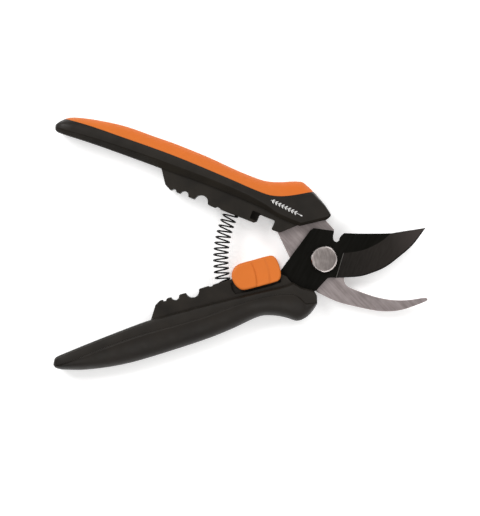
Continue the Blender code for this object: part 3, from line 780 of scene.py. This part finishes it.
MOUTH_ROUNDING = 0.6
FRAME_ROUNDING = 0.4
FRAME_CORNER = 0.9
TRACK_DEPTH = 1.8
GROOVE_DEPTH = 1.2
CATCH_DEPTH = 4.6

LOWER_HEAD = [(19.0, 6.4), (15.7, 10.8), (11.6, 13.9)]
LOWER_CORE = [(11.6, 16.8), (22, 15.8), (32, 14.4), (75, 13.6)]
LOWER_MOUTH = [(17.0, 0.0), (6.0, 8.0), (6.0, 14.3), (11.6, 14.8)]
UPPER_HEAD = [(18.0, 11.3), (7.6, 18.9)]
UPPER_CORE = [(9.5, 22.2), (17, 24.2), (27, 21.0), (36, 17.8), (75, 17.5)]
UPPER_MOUTH = [(17.0, 7.0), (3.0, 15.0), (3.0, 17.6), (8.0, 20.0)]


def rib_edge(v):
    """The inner edge of a rib, from its far corner towards the pivot, with its soft-mouthed round notches."""
    made = []
    for u, radius in NOTCHES:
        reach = math.sqrt((radius + MOUTH_ROUNDING) ** 2 - MOUTH_ROUNDING**2)
        lean = math.degrees(math.asin(MOUTH_ROUNDING / (radius + MOUTH_ROUNDING)))
        made += arc((u + reach, v + MOUTH_ROUNDING), MOUTH_ROUNDING, 270, 180 + lean, 5)
        made += arc((u, v), radius, lean, 180 - lean, 18)[1:-1]
        made += arc((u - reach, v + MOUTH_ROUNDING), MOUTH_ROUNDING, -lean, -90, 5)
    return made


def lower_frame_outline(head):
    rib = [(RIB_END - 0.5, 6.0), (CORNER_REACH + 2.6, -2.2), (CORNER_REACH, LOWER_RIB_EDGE)]
    nick = [(59.2, LOWER_RIB_EDGE), (58.5, -3.0), (57.2, -3.0), (56.8, LOWER_RIB_EDGE)]
    rib += rib_edge(LOWER_RIB_EDGE) + nick + [(28.2, LOWER_RIB_EDGE), (20.5, 2.8)]
    core = grip_points((0.74, 13.0), (0.78, 11.6), (0.4, 8.9), (0.08, 7.4))
    return rib + head + LOWER_CORE + core


def upper_frame_outline(head):
    rib = [(RIB_END, 14.0), (CORNER_REACH + 2.9, 5.7), (CORNER_REACH, UPPER_RIB_EDGE)]
    nick = [(60.9, 4.0), (59.7, 4.05), (59.2, 4.9), (57.8, 4.75), (57.0, UPPER_RIB_EDGE)]
    rib += rib_edge(UPPER_RIB_EDGE) + nick
    rib += [(RIB_FACE + 1.3, UPPER_RIB_EDGE), (RIB_FACE, 5.2), (RIB_FACE, 9.0)]
    lug = [(LUG_FACE - 0.3, 9.0), (LUG_FACE, UPPER_RIB_EDGE), (25.4, UPPER_RIB_EDGE)]
    core = grip_points((0.74, 17.2), (0.79, 16.0), (0.74, 14.9), (0.1, 15.0))
    return rib + lug + head + UPPER_CORE + core


def spring_pocket(half, edge):
    """A cutter for the round blind bore that one end of the spring stands in, flared at its mouth."""
    rings = []
    for v, radius in ((edge - 1, 1.0), (edge - 0.01, 0.45), (edge + 0.45, 0.0), (edge + POCKET_DEPTH, 0.0)):
        ring = circle(POCKET_RADIUS + radius, 48, (SPRING_PLACE, MIDDLE))
        rings.append([(u, v, z) for u, z in ring])
    return lofted("pocket", half, rings)


def tang_slot(half, outline, low, high):
    return plate("slot", half, grown(outline, GAP), low - GAP, high + GAP)


def cut_faces(piece, half, outline, depth):
    """Cuts an outline into the front and the back of a frame."""
    cut(piece, plate("front", half, outline, FRAME_HIGH - depth, FRAME_HIGH + 1))
    cut(piece, plate("back", half, outline, FRAME_LOW - 1, FRAME_LOW + depth))


def frame_moulding(name, half, outline):
    outline = filleted(outline, FRAME_CORNER)
    return plate(name, half, outline, FRAME_LOW, FRAME_HIGH, [FRAME_LOOK], FRAME_ROUNDING, 3)


def lower_frame():
    made = frame_moulding("lower_frame_moulding", LOWER, lower_frame_outline(LOWER_HEAD))
    tang = [CHOIL[-1]] + BLADE_TANG + [BLADE_HEEL[0], (12, -8), (4, 8)]
    cut(made, tang_slot(LOWER, tang, BLADE_BACK, BLADE_FRONT))
    cut(made, spring_pocket(LOWER, LOWER_RIB_EDGE))
    track = [(23.4, 3.1), (44.5, 3.1), (46.4, 0.5), (46.8, -2.0), (48.2, -2.0), (48.5, 1.5), (47.4, 4.2)]
    track += [(40, 4.9), (28, 5.2), (24, 4.9)]
    cut_faces(made, LOWER, filleted(track, 0.5), TRACK_DEPTH)
    cut_faces(made, LOWER, filleted(rectangle(25.7, 46.3, 0.5, 2.5), 0.5), GROOVE_DEPTH)
    shade(made, 35)
    place(made, "lower_half", "frame_nylon", "lower_frame")


def upper_frame():
    made = frame_moulding("upper_frame_moulding", UPPER, upper_frame_outline(UPPER_HEAD))
    tang = [(-2, 14)] + HOOK_HEAD + HOOK_TANG[::-1] + HOOK_SIDE
    cut(made, tang_slot(UPPER, tang, HOOK_BACK, HOOK_FRONT))
    cut(made, spring_pocket(UPPER, UPPER_RIB_EDGE))
    cut_faces(made, UPPER, filleted(rectangle(RIB_FACE - 2, RIB_FACE + 4.1, 5.3, 9.6), 0.7), CATCH_DEPTH)
    shade(made, 35)
    place(made, "upper_half", "frame_nylon", "upper_frame")


# ---- levers: covers and grip pads

LOWER_LEVER = {
    "inner": [(8.8, 15.4), (9.4, 13.6), (14.9, 10.3), (18.2, 6.6), (22.2, 7.1), (37.5, 6.1), (63, 4.9),
              (90.9, 4.4), *grip_points((0.42, 6.1), (0.8, 8.1), (0.875, 8.7), (0.9, 10.0), (0.92, 12.0))],
    "inner_corners": (9.4, 14.9, 18.2, 22.2),
    "outer": [(8.8, 17.0), (9.7, 20.5), (13, 23.4), (17.2, 25.5), (21.8, 25.7), (26.7, 22.5), (32.8, 19.6),
              (40, 18.3), (54.7, 20.4), (71.1, 21.7), (100.6, 22.2), *grip_points((0.41, 21.3), (0.67, 18.8)),
              *grip_points((0.84, 15.9), (0.88, 14.9), (0.905, 14.0), (0.92, 13.1))],
    "outer_corners": (9.7,),
    "crease": [(8.8, 16.6), (9.7, 19.5), (15.2, 18.4), (21, 11.8), (39.9, 9.1), (67.7, 10.3), (96.9, 9.9),
               *grip_points((0.44, 10.9), (0.82, 12.8), (0.92, 12.0))],
    "pad": None,
    "lip": [(8.8, 1.0), (on_grip(0.92), 1.0)],
    "drop": [(8.8, 1.3), (on_grip(0.92), 1.3)],
    "step": 0.3,
    "pad_span": (9.5, on_grip(0.912)),
}
UPPER_LEVER = {
    "inner": [(4.9, 20.6), (5.8, 18.9), (17.4, 10.8), (29.2, 11.1), (39.7, 12.6), (67.2, 13.2), (91.8, 12.6),
              *grip_points((0.59, 11.7), (0.93, 10.6), (0.975, 10.8), (0.99, 11.5), (1, 12.6))],
    "inner_corners": (5.8, 17.4),
    "outer": [(4.9, 22.0), (9.5, 25.4), (16.4, 29.1), (23.1, 31.8), (26.3, 31.4), (30, 29.9), (33.6, 28.2),
              (39.3, 26.2), (45.1, 25.4), (56.9, 25.5), (72.6, 26.4), (90, 26.6), (101.5, 26.2),
              *grip_points((0.43, 25.6), (0.69, 23.2), (0.87, 20.5), (0.94, 18.3), (0.975, 16.2), (1, 14.0))],
    "outer_corners": (),
    "crease": [(4.9, 21.4), (9.5, 24.6), (17.2, 27.6), (30, 21.0), (36, 18.9), (53.1, 18.3), (103, 17.4),
               *grip_points((0.57, 16.1), (0.955, 14.3), (1, 13.6))],
    "pad": [(4.9, 40.0), (17.2, 29.2), (20.5, 27.2), (24, 25.0), (27.5, 23.0), (31, 21.3), (35, 20.0),
            (39, 19.4), (47, 19.4), (56, 19.8), (73, 20.3), (86, 20.5), (99.8, 20.3), (116, 19.7),
            (128, 19.3), *grip_points((0.75, 18.9), (0.955, 17.8), (1, 17.2))],
    "lip": [(4.9, 1.5), (32, 1.6), (48, 2.6), (RIB_END + 3, 3.1),
            *grip_points((0.5, 2.6), (0.95, 1.7), (1, 1.2))],
    "drop": [(4.9, 1.2), (RIB_END, 1.4), (RIB_END + 4, 3.9), *grip_points((0.5, 3.4), (0.95, 2.2), (1, 1.5))],
    "step": 0.0,
    "pad_span": (17.6, on_grip(0.943)),
}
BUTT_ROUNDING = 9.0
LIP_PROFILE = ((0.0, 1.2), (0.0, 1.02), (0.06, 0.93), (0.5, 0.5), (0.94, 0.06), (1.04, 0.0), (1.16, 0.0))
BAND_TILT = 0.35
FULLEST_TURN = 86.0
COVER_END_RADIUS = 1.4
PAD_END_RADIUS = 0.5
END_DRAW = 0.3
STATION_STEP = 1.3
LEAST_WIDTH = 0.8
LEAST_BAND = 0.3
LEAST_BACK = 0.4
MOST_LIP = 0.7
COVER_WALL = 1.2
WALL_UNDER_PAD = 0.5
PAD_WALL = 1.0
PAD_FALL = 0.35
PAD_RIM = 0.04


def smoothed(points, sharp):
    """The line through the points made smooth, except at the points whose u is in the sharp ones."""
    made = []
    stretch = []
    for point in points:
        stretch.append(point)
        if point[0] in sharp:
            made += curve(stretch, 8)[:-1] if len(stretch) > 1 else []
            stretch = [point]
    return made + curve(stretch, 8)


def lever_lines(lever):
    """The lever's lines as close-set points."""
    lines = {
        "inner": smoothed(lever["inner"], lever["inner_corners"]),
        "outer": smoothed(lever["outer"], lever["outer_corners"]),
        "crease": smoothed(lever["crease"], (9.5, 17.2, 15.2)),
    }
    if lever["pad"]:
        lines["pad"] = smoothed(lever["pad"], (17.2,))
    return lines


def stations(start, end):
    """Places along u, closer together at both ends."""
    near = (0, 0.06, 0.2, 0.42, 0.75, 1.2, 1.8)
    count = int((end - start - 2 * near[-1]) / STATION_STEP)
    inside = [start + near[-1] + (end - start - 2 * near[-1]) * i / count for i in range(1, count)]
    return [start + n for n in near] + inside + [end - n for n in reversed(near)]


def end_rounding(u, start, end, radius):
    """How far the surface draws in near the two ends, for a rounded rim."""
    reach = min(u - start, end - u)
    if reach >= radius:
        return 0.0
    return radius - math.sqrt(radius**2 - (radius - reach) ** 2)


def lever_section(lines, butt, u):
    """The v of the inner edge, crease and outer edge here, half the thickness, and where the pad starts."""
    inner = height_at(lines["inner"], u)
    outer = max(height_at(lines["outer"], u), inner + LEAST_WIDTH)
    crease = min(max(height_at(lines["crease"], u), inner + LEAST_BAND), outer - LEAST_BACK)
    past = max(0.0, (u - (butt - BUTT_ROUNDING)) / BUTT_ROUNDING)
    half = HANDLE_HALF * (0.5 + 0.5 * math.sqrt(max(0.0, 1 - past**2)))
    turn = 0.0
    if "pad" in lines:
        share = (height_at(lines["pad"], u) - crease) / (outer - crease)
        turn = min(FULLEST_TURN, math.degrees(math.asin(min(1.0, max(0.05, share)))))
    return inner, crease, outer, half, turn


def side_arc(crease, outer, half, start, end, steps):
    """Points on the rounded back of a lever, between two turns of its quarter ellipse."""
    made = []
    for step in range(steps + 1):
        turn = math.radians(start + (end - start) * step / steps)
        made.append((crease + (outer - crease) * math.sin(turn), half * math.cos(turn)))
    return made


def cover_ring(lines, lever, span, u):
    """The section of a cover: rounded lip, flat band, rounded back as far as the pad, then its wall."""
    inner, crease, outer, half, turn = lever_section(lines, span[1], u)
    draw = end_rounding(u, *span, COVER_END_RADIUS)
    half -= draw
    inner = min(inner + draw * END_DRAW, crease - 0.05)
    full = height_at(lever["lip"], u)
    lip = min(full, (crease - inner) * MOST_LIP)
    level = half - lever["step"]
    drop = height_at(lever["drop"], u) * lip / full
    tilt = min(BAND_TILT, (crease - inner - lip) * 0.1)
    front = []
    for share, depth in LIP_PROFILE:
        front.append((inner + lip * share, level - tilt - drop * depth))
    for share in (0.2, 0.4, 0.6, 0.8):
        front.append((inner + lip + (crease - inner - lip) * share, level - tilt * (1 - share) ** 2))
    if turn:
        front += side_arc(crease, outer - draw * END_DRAW, half, 0, turn, 14)
        edge = front[-1]
        front += [(edge[0], max(edge[1] - WALL_UNDER_PAD, 0.05))]
    else:
        front += [(crease - 0.1, level), (crease, level - 0.04), (crease, level - COVER_WALL)]
    ring = front + [(v, -z) for v, z in reversed(front)]
    return [(u, v, MIDDLE + z) for v, z in ring]


def pad_ring(lines, lever, butt, u):
    """The section of a pad: the rest of the rounded back, with a rim that slopes down to the cover."""
    inner, crease, outer, half, turn = lever_section(lines, butt, u)
    draw = end_rounding(u, *lever["pad_span"], PAD_END_RADIUS)
    start = crease + (outer - crease) * math.sin(math.radians(turn)) + SEAM
    back = side_arc(crease, outer, half, turn, 90, 20)
    top = back[0][1]
    rim = min(PAD_RIM + lever["step"] * 2, 0.07 * (outer - crease))
    fall = PAD_FALL + lever["step"] * 0.4
    front = [(start, max(top - PAD_WALL, 0.02)), (start, max(top - fall, 0.03)), (start + rim, top - 0.03)]
    front += [(max(v, start + 0.02), z) for v, z in back[1:]]
    front = [(v - draw * min(1.0, (v - start) / 2), z - draw * min(1, z / 2)) for v, z in front]
    ring = front + [(v, -z) for v, z in reversed(front[:-1])]
    return [(u, v, MIDDLE + z) for v, z in ring]


def lever_pieces(name, half, lever, cavity, cover_looks, pad_look, pad_slot):
    """The moulded cover and the soft pad round the core of a frame. The cover's second look is its lip's."""
    lines = lever_lines(lever)
    span = (lever["inner"][0][0], lever["inner"][-1][0])
    places = sorted(set(stations(*span) + stations(*lever["pad_span"])))
    rings = [cover_ring(lines, lever, span, u) for u in places]
    lip = len(LIP_PROFILE) - 1
    # rows of the lip take the cover's second look, which is painted shade on the upper cover
    rows = [int(i < lip or i >= len(rings[0]) - 1 - lip) for i in range(len(rings[0]))]
    cover = lofted(f"{name}_cover_moulding", half, rings, cover_looks, rows)
    start, end = lever["pad_span"]
    rings = [pad_ring(lines, lever, span[1], u) for u in places if start <= u <= end]
    pad = lofted(f"{name}_grip_moulding", half, rings, [pad_look])
    for piece, slot, node in ((cover, "cover_plastic", "cover"), (pad, pad_slot, "grip_pad")):
        cut(piece, plate("cavity", half, grown(cavity, GAP), FRAME_LOW - GAP, FRAME_HIGH + GAP))
        shade(piece, 38)
        place(piece, f"{name}_half", slot, f"{name}_{node}")


# ---- spring

SPRING_LOW_END = LOWER_RIB_EDGE + POCKET_DEPTH - GAP
SPRING_HIGH_END = UPPER_RIB_EDGE + POCKET_DEPTH - GAP
SPRING_BEND = math.radians(OPEN_ANGLE) * SPRING_PLACE
SPRING_LENGTH = SPRING_LOW_END + SPRING_BEND + SPRING_HIGH_END
END_TURN_RISE = 1.0
STEPS_PER_TURN = 26
WIRE_SIDES = 10


def spring_spot(length):
    """The place at this length along the spring's middle line, and the direction away from the pivot."""
    along = min(max(length - SPRING_LOW_END, 0), SPRING_BEND)
    angle = math.radians(180 + OPEN_ANGLE / 2) - along / SPRING_PLACE
    out = (math.cos(angle), math.sin(angle))
    ahead = (math.sin(angle), -math.cos(angle))
    straight = min(length - SPRING_LOW_END, 0) + max(length - SPRING_LOW_END - SPRING_BEND, 0)
    return [SPRING_PLACE * o + straight * a for o, a in zip(out, ahead)], out


def spring_turns():
    """(turn, length) pairs: close end turns, wide turns inside the pockets, and even turns between them."""
    close = WIRE_RADIUS + END_TURN_RISE
    hidden = POCKET_DEPTH - 0.1
    start = 1 + POCKET_TURNS
    end = start + (SPRING_LENGTH - 2 * hidden) / VISIBLE_PITCH
    turns = [0, 1, start, end, end + POCKET_TURNS, end + POCKET_TURNS + 1]
    lengths = [WIRE_RADIUS, close, hidden]
    lengths += [SPRING_LENGTH - length for length in (hidden, close, WIRE_RADIUS)]
    return list(zip(turns, lengths))


def spring_line():
    """Places along the wire's middle line, each with the place beside it on the spring's own middle line.

    Each place also has its share of the squeeze, chosen so that the turns close up to one even, tight pitch.
    """
    table = spring_turns()
    all_turns = table[-1][0]
    shut_pitch = (SPRING_LENGTH - SPRING_BEND - 2 * WIRE_RADIUS) / all_turns
    count = int(all_turns * STEPS_PER_TURN)
    made = []
    for index in range(count + 1):
        turn = all_turns * index / count
        length = height_at(table, turn)
        centre, out = spring_spot(length)
        angle = 2 * math.pi * (turn - SPRING_PHASE)
        side = SPRING_RADIUS * math.cos(angle)
        rise = SPRING_RADIUS * math.sin(angle)
        here = (centre[0] + out[0] * side, centre[1] + out[1] * side, MIDDLE + rise)
        share = (length - WIRE_RADIUS - shut_pitch * turn) / SPRING_BEND
        made.append((here, (*centre, MIDDLE), clamp(share)))
    return made


def wire_ring(before, here, after, centre):
    """A ring of points round the wire here, square to its run."""
    along = unit([b - a for a, b in zip(before, after)])
    outward = [h - c for h, c in zip(here, centre)]
    lean = sum(o * a for o, a in zip(outward, along))
    outward = unit([o - lean * a for o, a in zip(outward, along)])
    across = [
        along[1] * outward[2] - along[2] * outward[1],
        along[2] * outward[0] - along[0] * outward[2],
        along[0] * outward[1] - along[1] * outward[0],
    ]
    made = []
    for side in range(WIRE_SIDES):
        angle = 2 * math.pi * side / WIRE_SIDES
        reach = [math.cos(angle) * o + math.sin(angle) * a for o, a in zip(outward, across)]
        made.append([h + WIRE_RADIUS * r for h, r in zip(here, reach)])
    return made


def return_spring():
    """A round wire coil between the two pockets."""
    line = spring_line()
    places = [here for here, _, _ in line]
    rings = []
    weights = []
    for before, (here, centre, share), after in zip(places[:1] + places, line, places[1:] + places[-1:]):
        rings.append(wire_ring(before, here, after, centre))
        weights += [share] * WIRE_SIDES
    world = Half(0, 1)
    made = shade(lofted("return_spring_wire", world, rings, [WIRE_LOOK]), 60)
    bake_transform(made)
    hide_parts("return_spring")


# ---- lock slider

SLIDER_PLAN = [(46.7, -3.0), (46.5, -5.4), (45.2, -7.7), (43.2, -9.2), (40.6, -9.8), (34.4, -9.7),
               (26.3, -9.5), (23.9, -8.7), (22.8, -6.8), (22.4, -3.7), (22.5, -0.6), (23.3, 2.2),
               (25.0, 3.7), (28.2, 3.9), (35.8, 3.7), (42.0, 3.4), (44.4, 2.3), (46.0, -0.1)]
SLIDER_POINTS = 160
SLIDER_RIM = 1.3
RIM_TURNS = 8
FACE_RINGS = 24
BACK_STEPS = ((0.6, 0.0), (0.15, 0.03), (0.0, 0.2))
THUMB_STEPS = ((34.9, 1.1, 0.95), (28.2, 1.0, 0.6))
THUMB_BOW = 0.022
THUMB_RISE = 6.2


def slider_outline():
    """The closed plan of the slider's cheeks: a full round end away from the pivot, a flatter one near it."""
    ring = SLIDER_PLAN[-2:] + SLIDER_PLAN + SLIDER_PLAN[:2]
    return spaced(curve(ring, 8)[16:-8], SLIDER_POINTS + 1)[:-1]


def thumb_surface(u, v):
    """How far the thumb face lies below its highest level: two curved steps, each before a gentle rise."""
    bow = THUMB_BOW * (v + 4) ** 2
    drop = 0.0
    for middle, width, depth in THUMB_STEPS:
        past = middle + bow - u
        fall = clamp(past / width + 0.5)
        fall = fall * fall * (3 - 2 * fall)
        rise = clamp(past / THUMB_RISE)
        drop += depth * fall * (1 - 0.8 * rise)
    return drop


def shrunk(outline, centre, share):
    """The outline drawn in towards a centre."""
    return [(centre[0] + (u - centre[0]) * share, centre[1] + (v - centre[1]) * share) for u, v in outline]


def cheek(name, facing, near, far):
    """One side of the slider: a flat back and a soft-edged thumb face."""
    outline = slider_outline()
    rings = []
    for inset, rise in BACK_STEPS:
        rings.append([(u, v, near + rise) for u, v in grown(outline, -inset)])
    for lower, inset in quarter(SLIDER_RIM, RIM_TURNS):
        rings.append([(u, v, far - lower) for u, v in grown(outline, -inset)])
    edge = grown(outline, -SLIDER_RIM)
    for i in range(1, FACE_RINGS + 1):
        rings.append([(u, v, far) for u, v in shrunk(edge, LOCK_CENTRE, 1 - 0.04 * i)])
    made = []
    for index, ring in enumerate(rings):
        full = clamp((index - len(BACK_STEPS)) / RIM_TURNS)
        made.append([(u, v, MIDDLE + facing * (z - thumb_surface(u, v) * full)) for u, v, z in ring])
    return lofted(name, LOWER, made, [ORANGE_LOCK])


def lock_slider():
    """The thumb slider: two cheeks joined by a bridge, with two noses and two guide tongues."""
    near = FRAME_HALF + GAP
    far = LOCK_HIGH - MIDDLE
    body = cheek("lock_slider_moulding", 1, near, far)
    pieces = [cheek("back", -1, near, far)]
    bridge = filleted(rectangle(31.0, 33.6, -8.6, LOWER_RIB_EDGE - GAP), 0.4)
    pieces.append(plate("bridge", LOWER, bridge, MIDDLE - near - 0.5, MIDDLE + near + 0.5))
    for facing in (1, -1):
        for outline, reach in ((rectangle(32.6, 36.5, -8.6, -5.6), 3.5), (rectangle(26, 42, 0.8, 2.2), 1.2)):
            low, high = sorted((MIDDLE + facing * (near - reach), MIDDLE + facing * (near + 0.4)))
            pieces.append(plate("part", LOWER, filleted(outline, 0.3), low, high))
    for piece in pieces:
        combine(body, piece, "UNION")
    shade(body, 40)
    place(body, "lock_slider", "lock_orange", "lock_slider")


# ---- mark

MARK_START = (35.4, 17.6)
MARK_END = (19.4, 16.0)
MARK_DEPTH = 0.3
STEM_HALF_WIDTH = 0.12
LEAF_PAIRS = 8
LEAF_ANGLE = 38


def leaf(centre, angle, length, width):
    """A pointed leaf shape in plan."""
    made = []
    for step in range(17):
        t = step / 16
        made.append((length * t, width * math.sin(math.pi * t) ** 0.8 / 2))
    made += [(u, -v) for u, v in made[-2:0:-1]]
    turn = math.radians(angle)
    cos = math.cos(turn)
    sin = math.sin(turn)
    return [(centre[0] + u * cos - v * sin, centre[1] + u * sin + v * cos) for u, v in made]


def sprig_mark():
    """A small printed sprig on the upper head: a stem and paired leaves."""
    angle = math.degrees(math.atan2(MARK_END[1] - MARK_START[1], MARK_END[0] - MARK_START[0]))
    across = math.radians(angle + 90)
    u = math.cos(across) * STEM_HALF_WIDTH
    v = math.sin(across) * STEM_HALF_WIDTH
    stem = [(p[0] + u, p[1] + v) for p in (MARK_START, MARK_END)]
    stem += [(p[0] - u, p[1] - v) for p in (MARK_END, MARK_START)]
    outlines = [stem]
    for index in range(LEAF_PAIRS):
        share = 0.04 + 0.11 * index
        root = [a + (b - a) * share for a, b in zip(MARK_START, MARK_END)]
        for side in (1, -1):
            outlines.append(leaf(root, angle + side * LEAF_ANGLE, 1.65, 0.55))
    outlines.append(leaf(MARK_END, angle, 1.5, 0.6))
    for number, outline in enumerate(outlines):
        low = COVER_HIGH - MARK_DEPTH
        piece = plate(f"sprig_mark_{number}", UPPER, outline, low, COVER_HIGH, [MARK_LOOK])
        place(piece, "upper_half", "cover_plastic")


# ---- room

def lamp(name, position, size, power):
    """A large soft lamp that faces the snips."""
    data = bpy.data.lights.new(name, "AREA")
    data.shape = "DISK"
    data.size = size
    data.energy = power
    made = linked(name, data)
    made.location = position
    toward = made.location.copy()
    toward.negate()
    made.rotation_euler = toward.to_track_quat("-Z", "Y").to_euler()


def room():
    """A pale floor, an even pale surround and soft lamps on all sides."""
    scene = bpy.context.scene
    scene.view_settings.view_transform = "Standard"
    surround = bpy.data.worlds.new("surround")
    surround.use_nodes = True
    background = surround.node_tree.nodes["Background"]
    fill(background, {"Color": (1.0, 0.99, 0.98, 1), "Strength": 0.6})
    scene.world = surround
    lamp("lamp_left", (-0.95, 0.7, 1.15), 0.8, 14.0)
    lamp("lamp_right", (0.75, 0.9, 1.15), 0.8, 6.5)
    lamp("lamp_front", (0.1, -1.0, 1.2), 0.9, 4.5)
    mesh = bpy.data.meshes.new("floor")
    side = 3.0
    mesh.from_pydata([(u, v, 0) for u, v in rectangle(-side, side, -side, side)], [], [(0, 1, 2, 3)])
    floor = linked("floor", mesh)
    floor.location.z = CAD_BOX[0][2] - 0.0002
    paper = Look("floor_paper", 0.9, specular=0.1)
    paper.colour(paper.ramp(paper.noise(3, 2), (0.3, (0.95, 0.95, 0.95)), (0.7, (0.97, 0.97, 0.97))))
    fill(paper.shader, {"Emission Color": (1, 1, 1, 1), "Emission Strength": 0.3})
    mesh.materials.append(paper.material)


def camera():
    """Looks straight down, with the snips turned a little clockwise in the view."""
    data = bpy.data.cameras.new("camera")
    data.lens = 135
    data.clip_start = 0.01
    made = linked("camera", data)
    seen_height = 0.258
    distance = seen_height * data.lens / data.sensor_width
    made.location = (-0.0419, -0.0012, MIDDLE * MM + distance)
    made.rotation_euler = (0, 0, math.radians(2.4))
    bpy.context.scene.camera = made


# ---- making

camera()
room()
cutting_blade()
hook_blade()
pivot_bolt()
pivot_washer()
pivot_nut()
lower_frame()
upper_frame()
lever_pieces("lower", LOWER, LOWER_LEVER, lower_frame_outline(LOWER_MOUTH), [COVER_LOOK, COVER_LOOK],
             BLACK_GRIP, "grip_black")
# the upper cover's lip takes the painted-shade look
lever_pieces("upper", UPPER, UPPER_LEVER, upper_frame_outline(UPPER_MOUTH), [COVER_LOOK, LIP_SHADE_LOOK],
             ORANGE_GRIP, "grip_orange")
return_spring()
lock_slider()
sprig_mark()
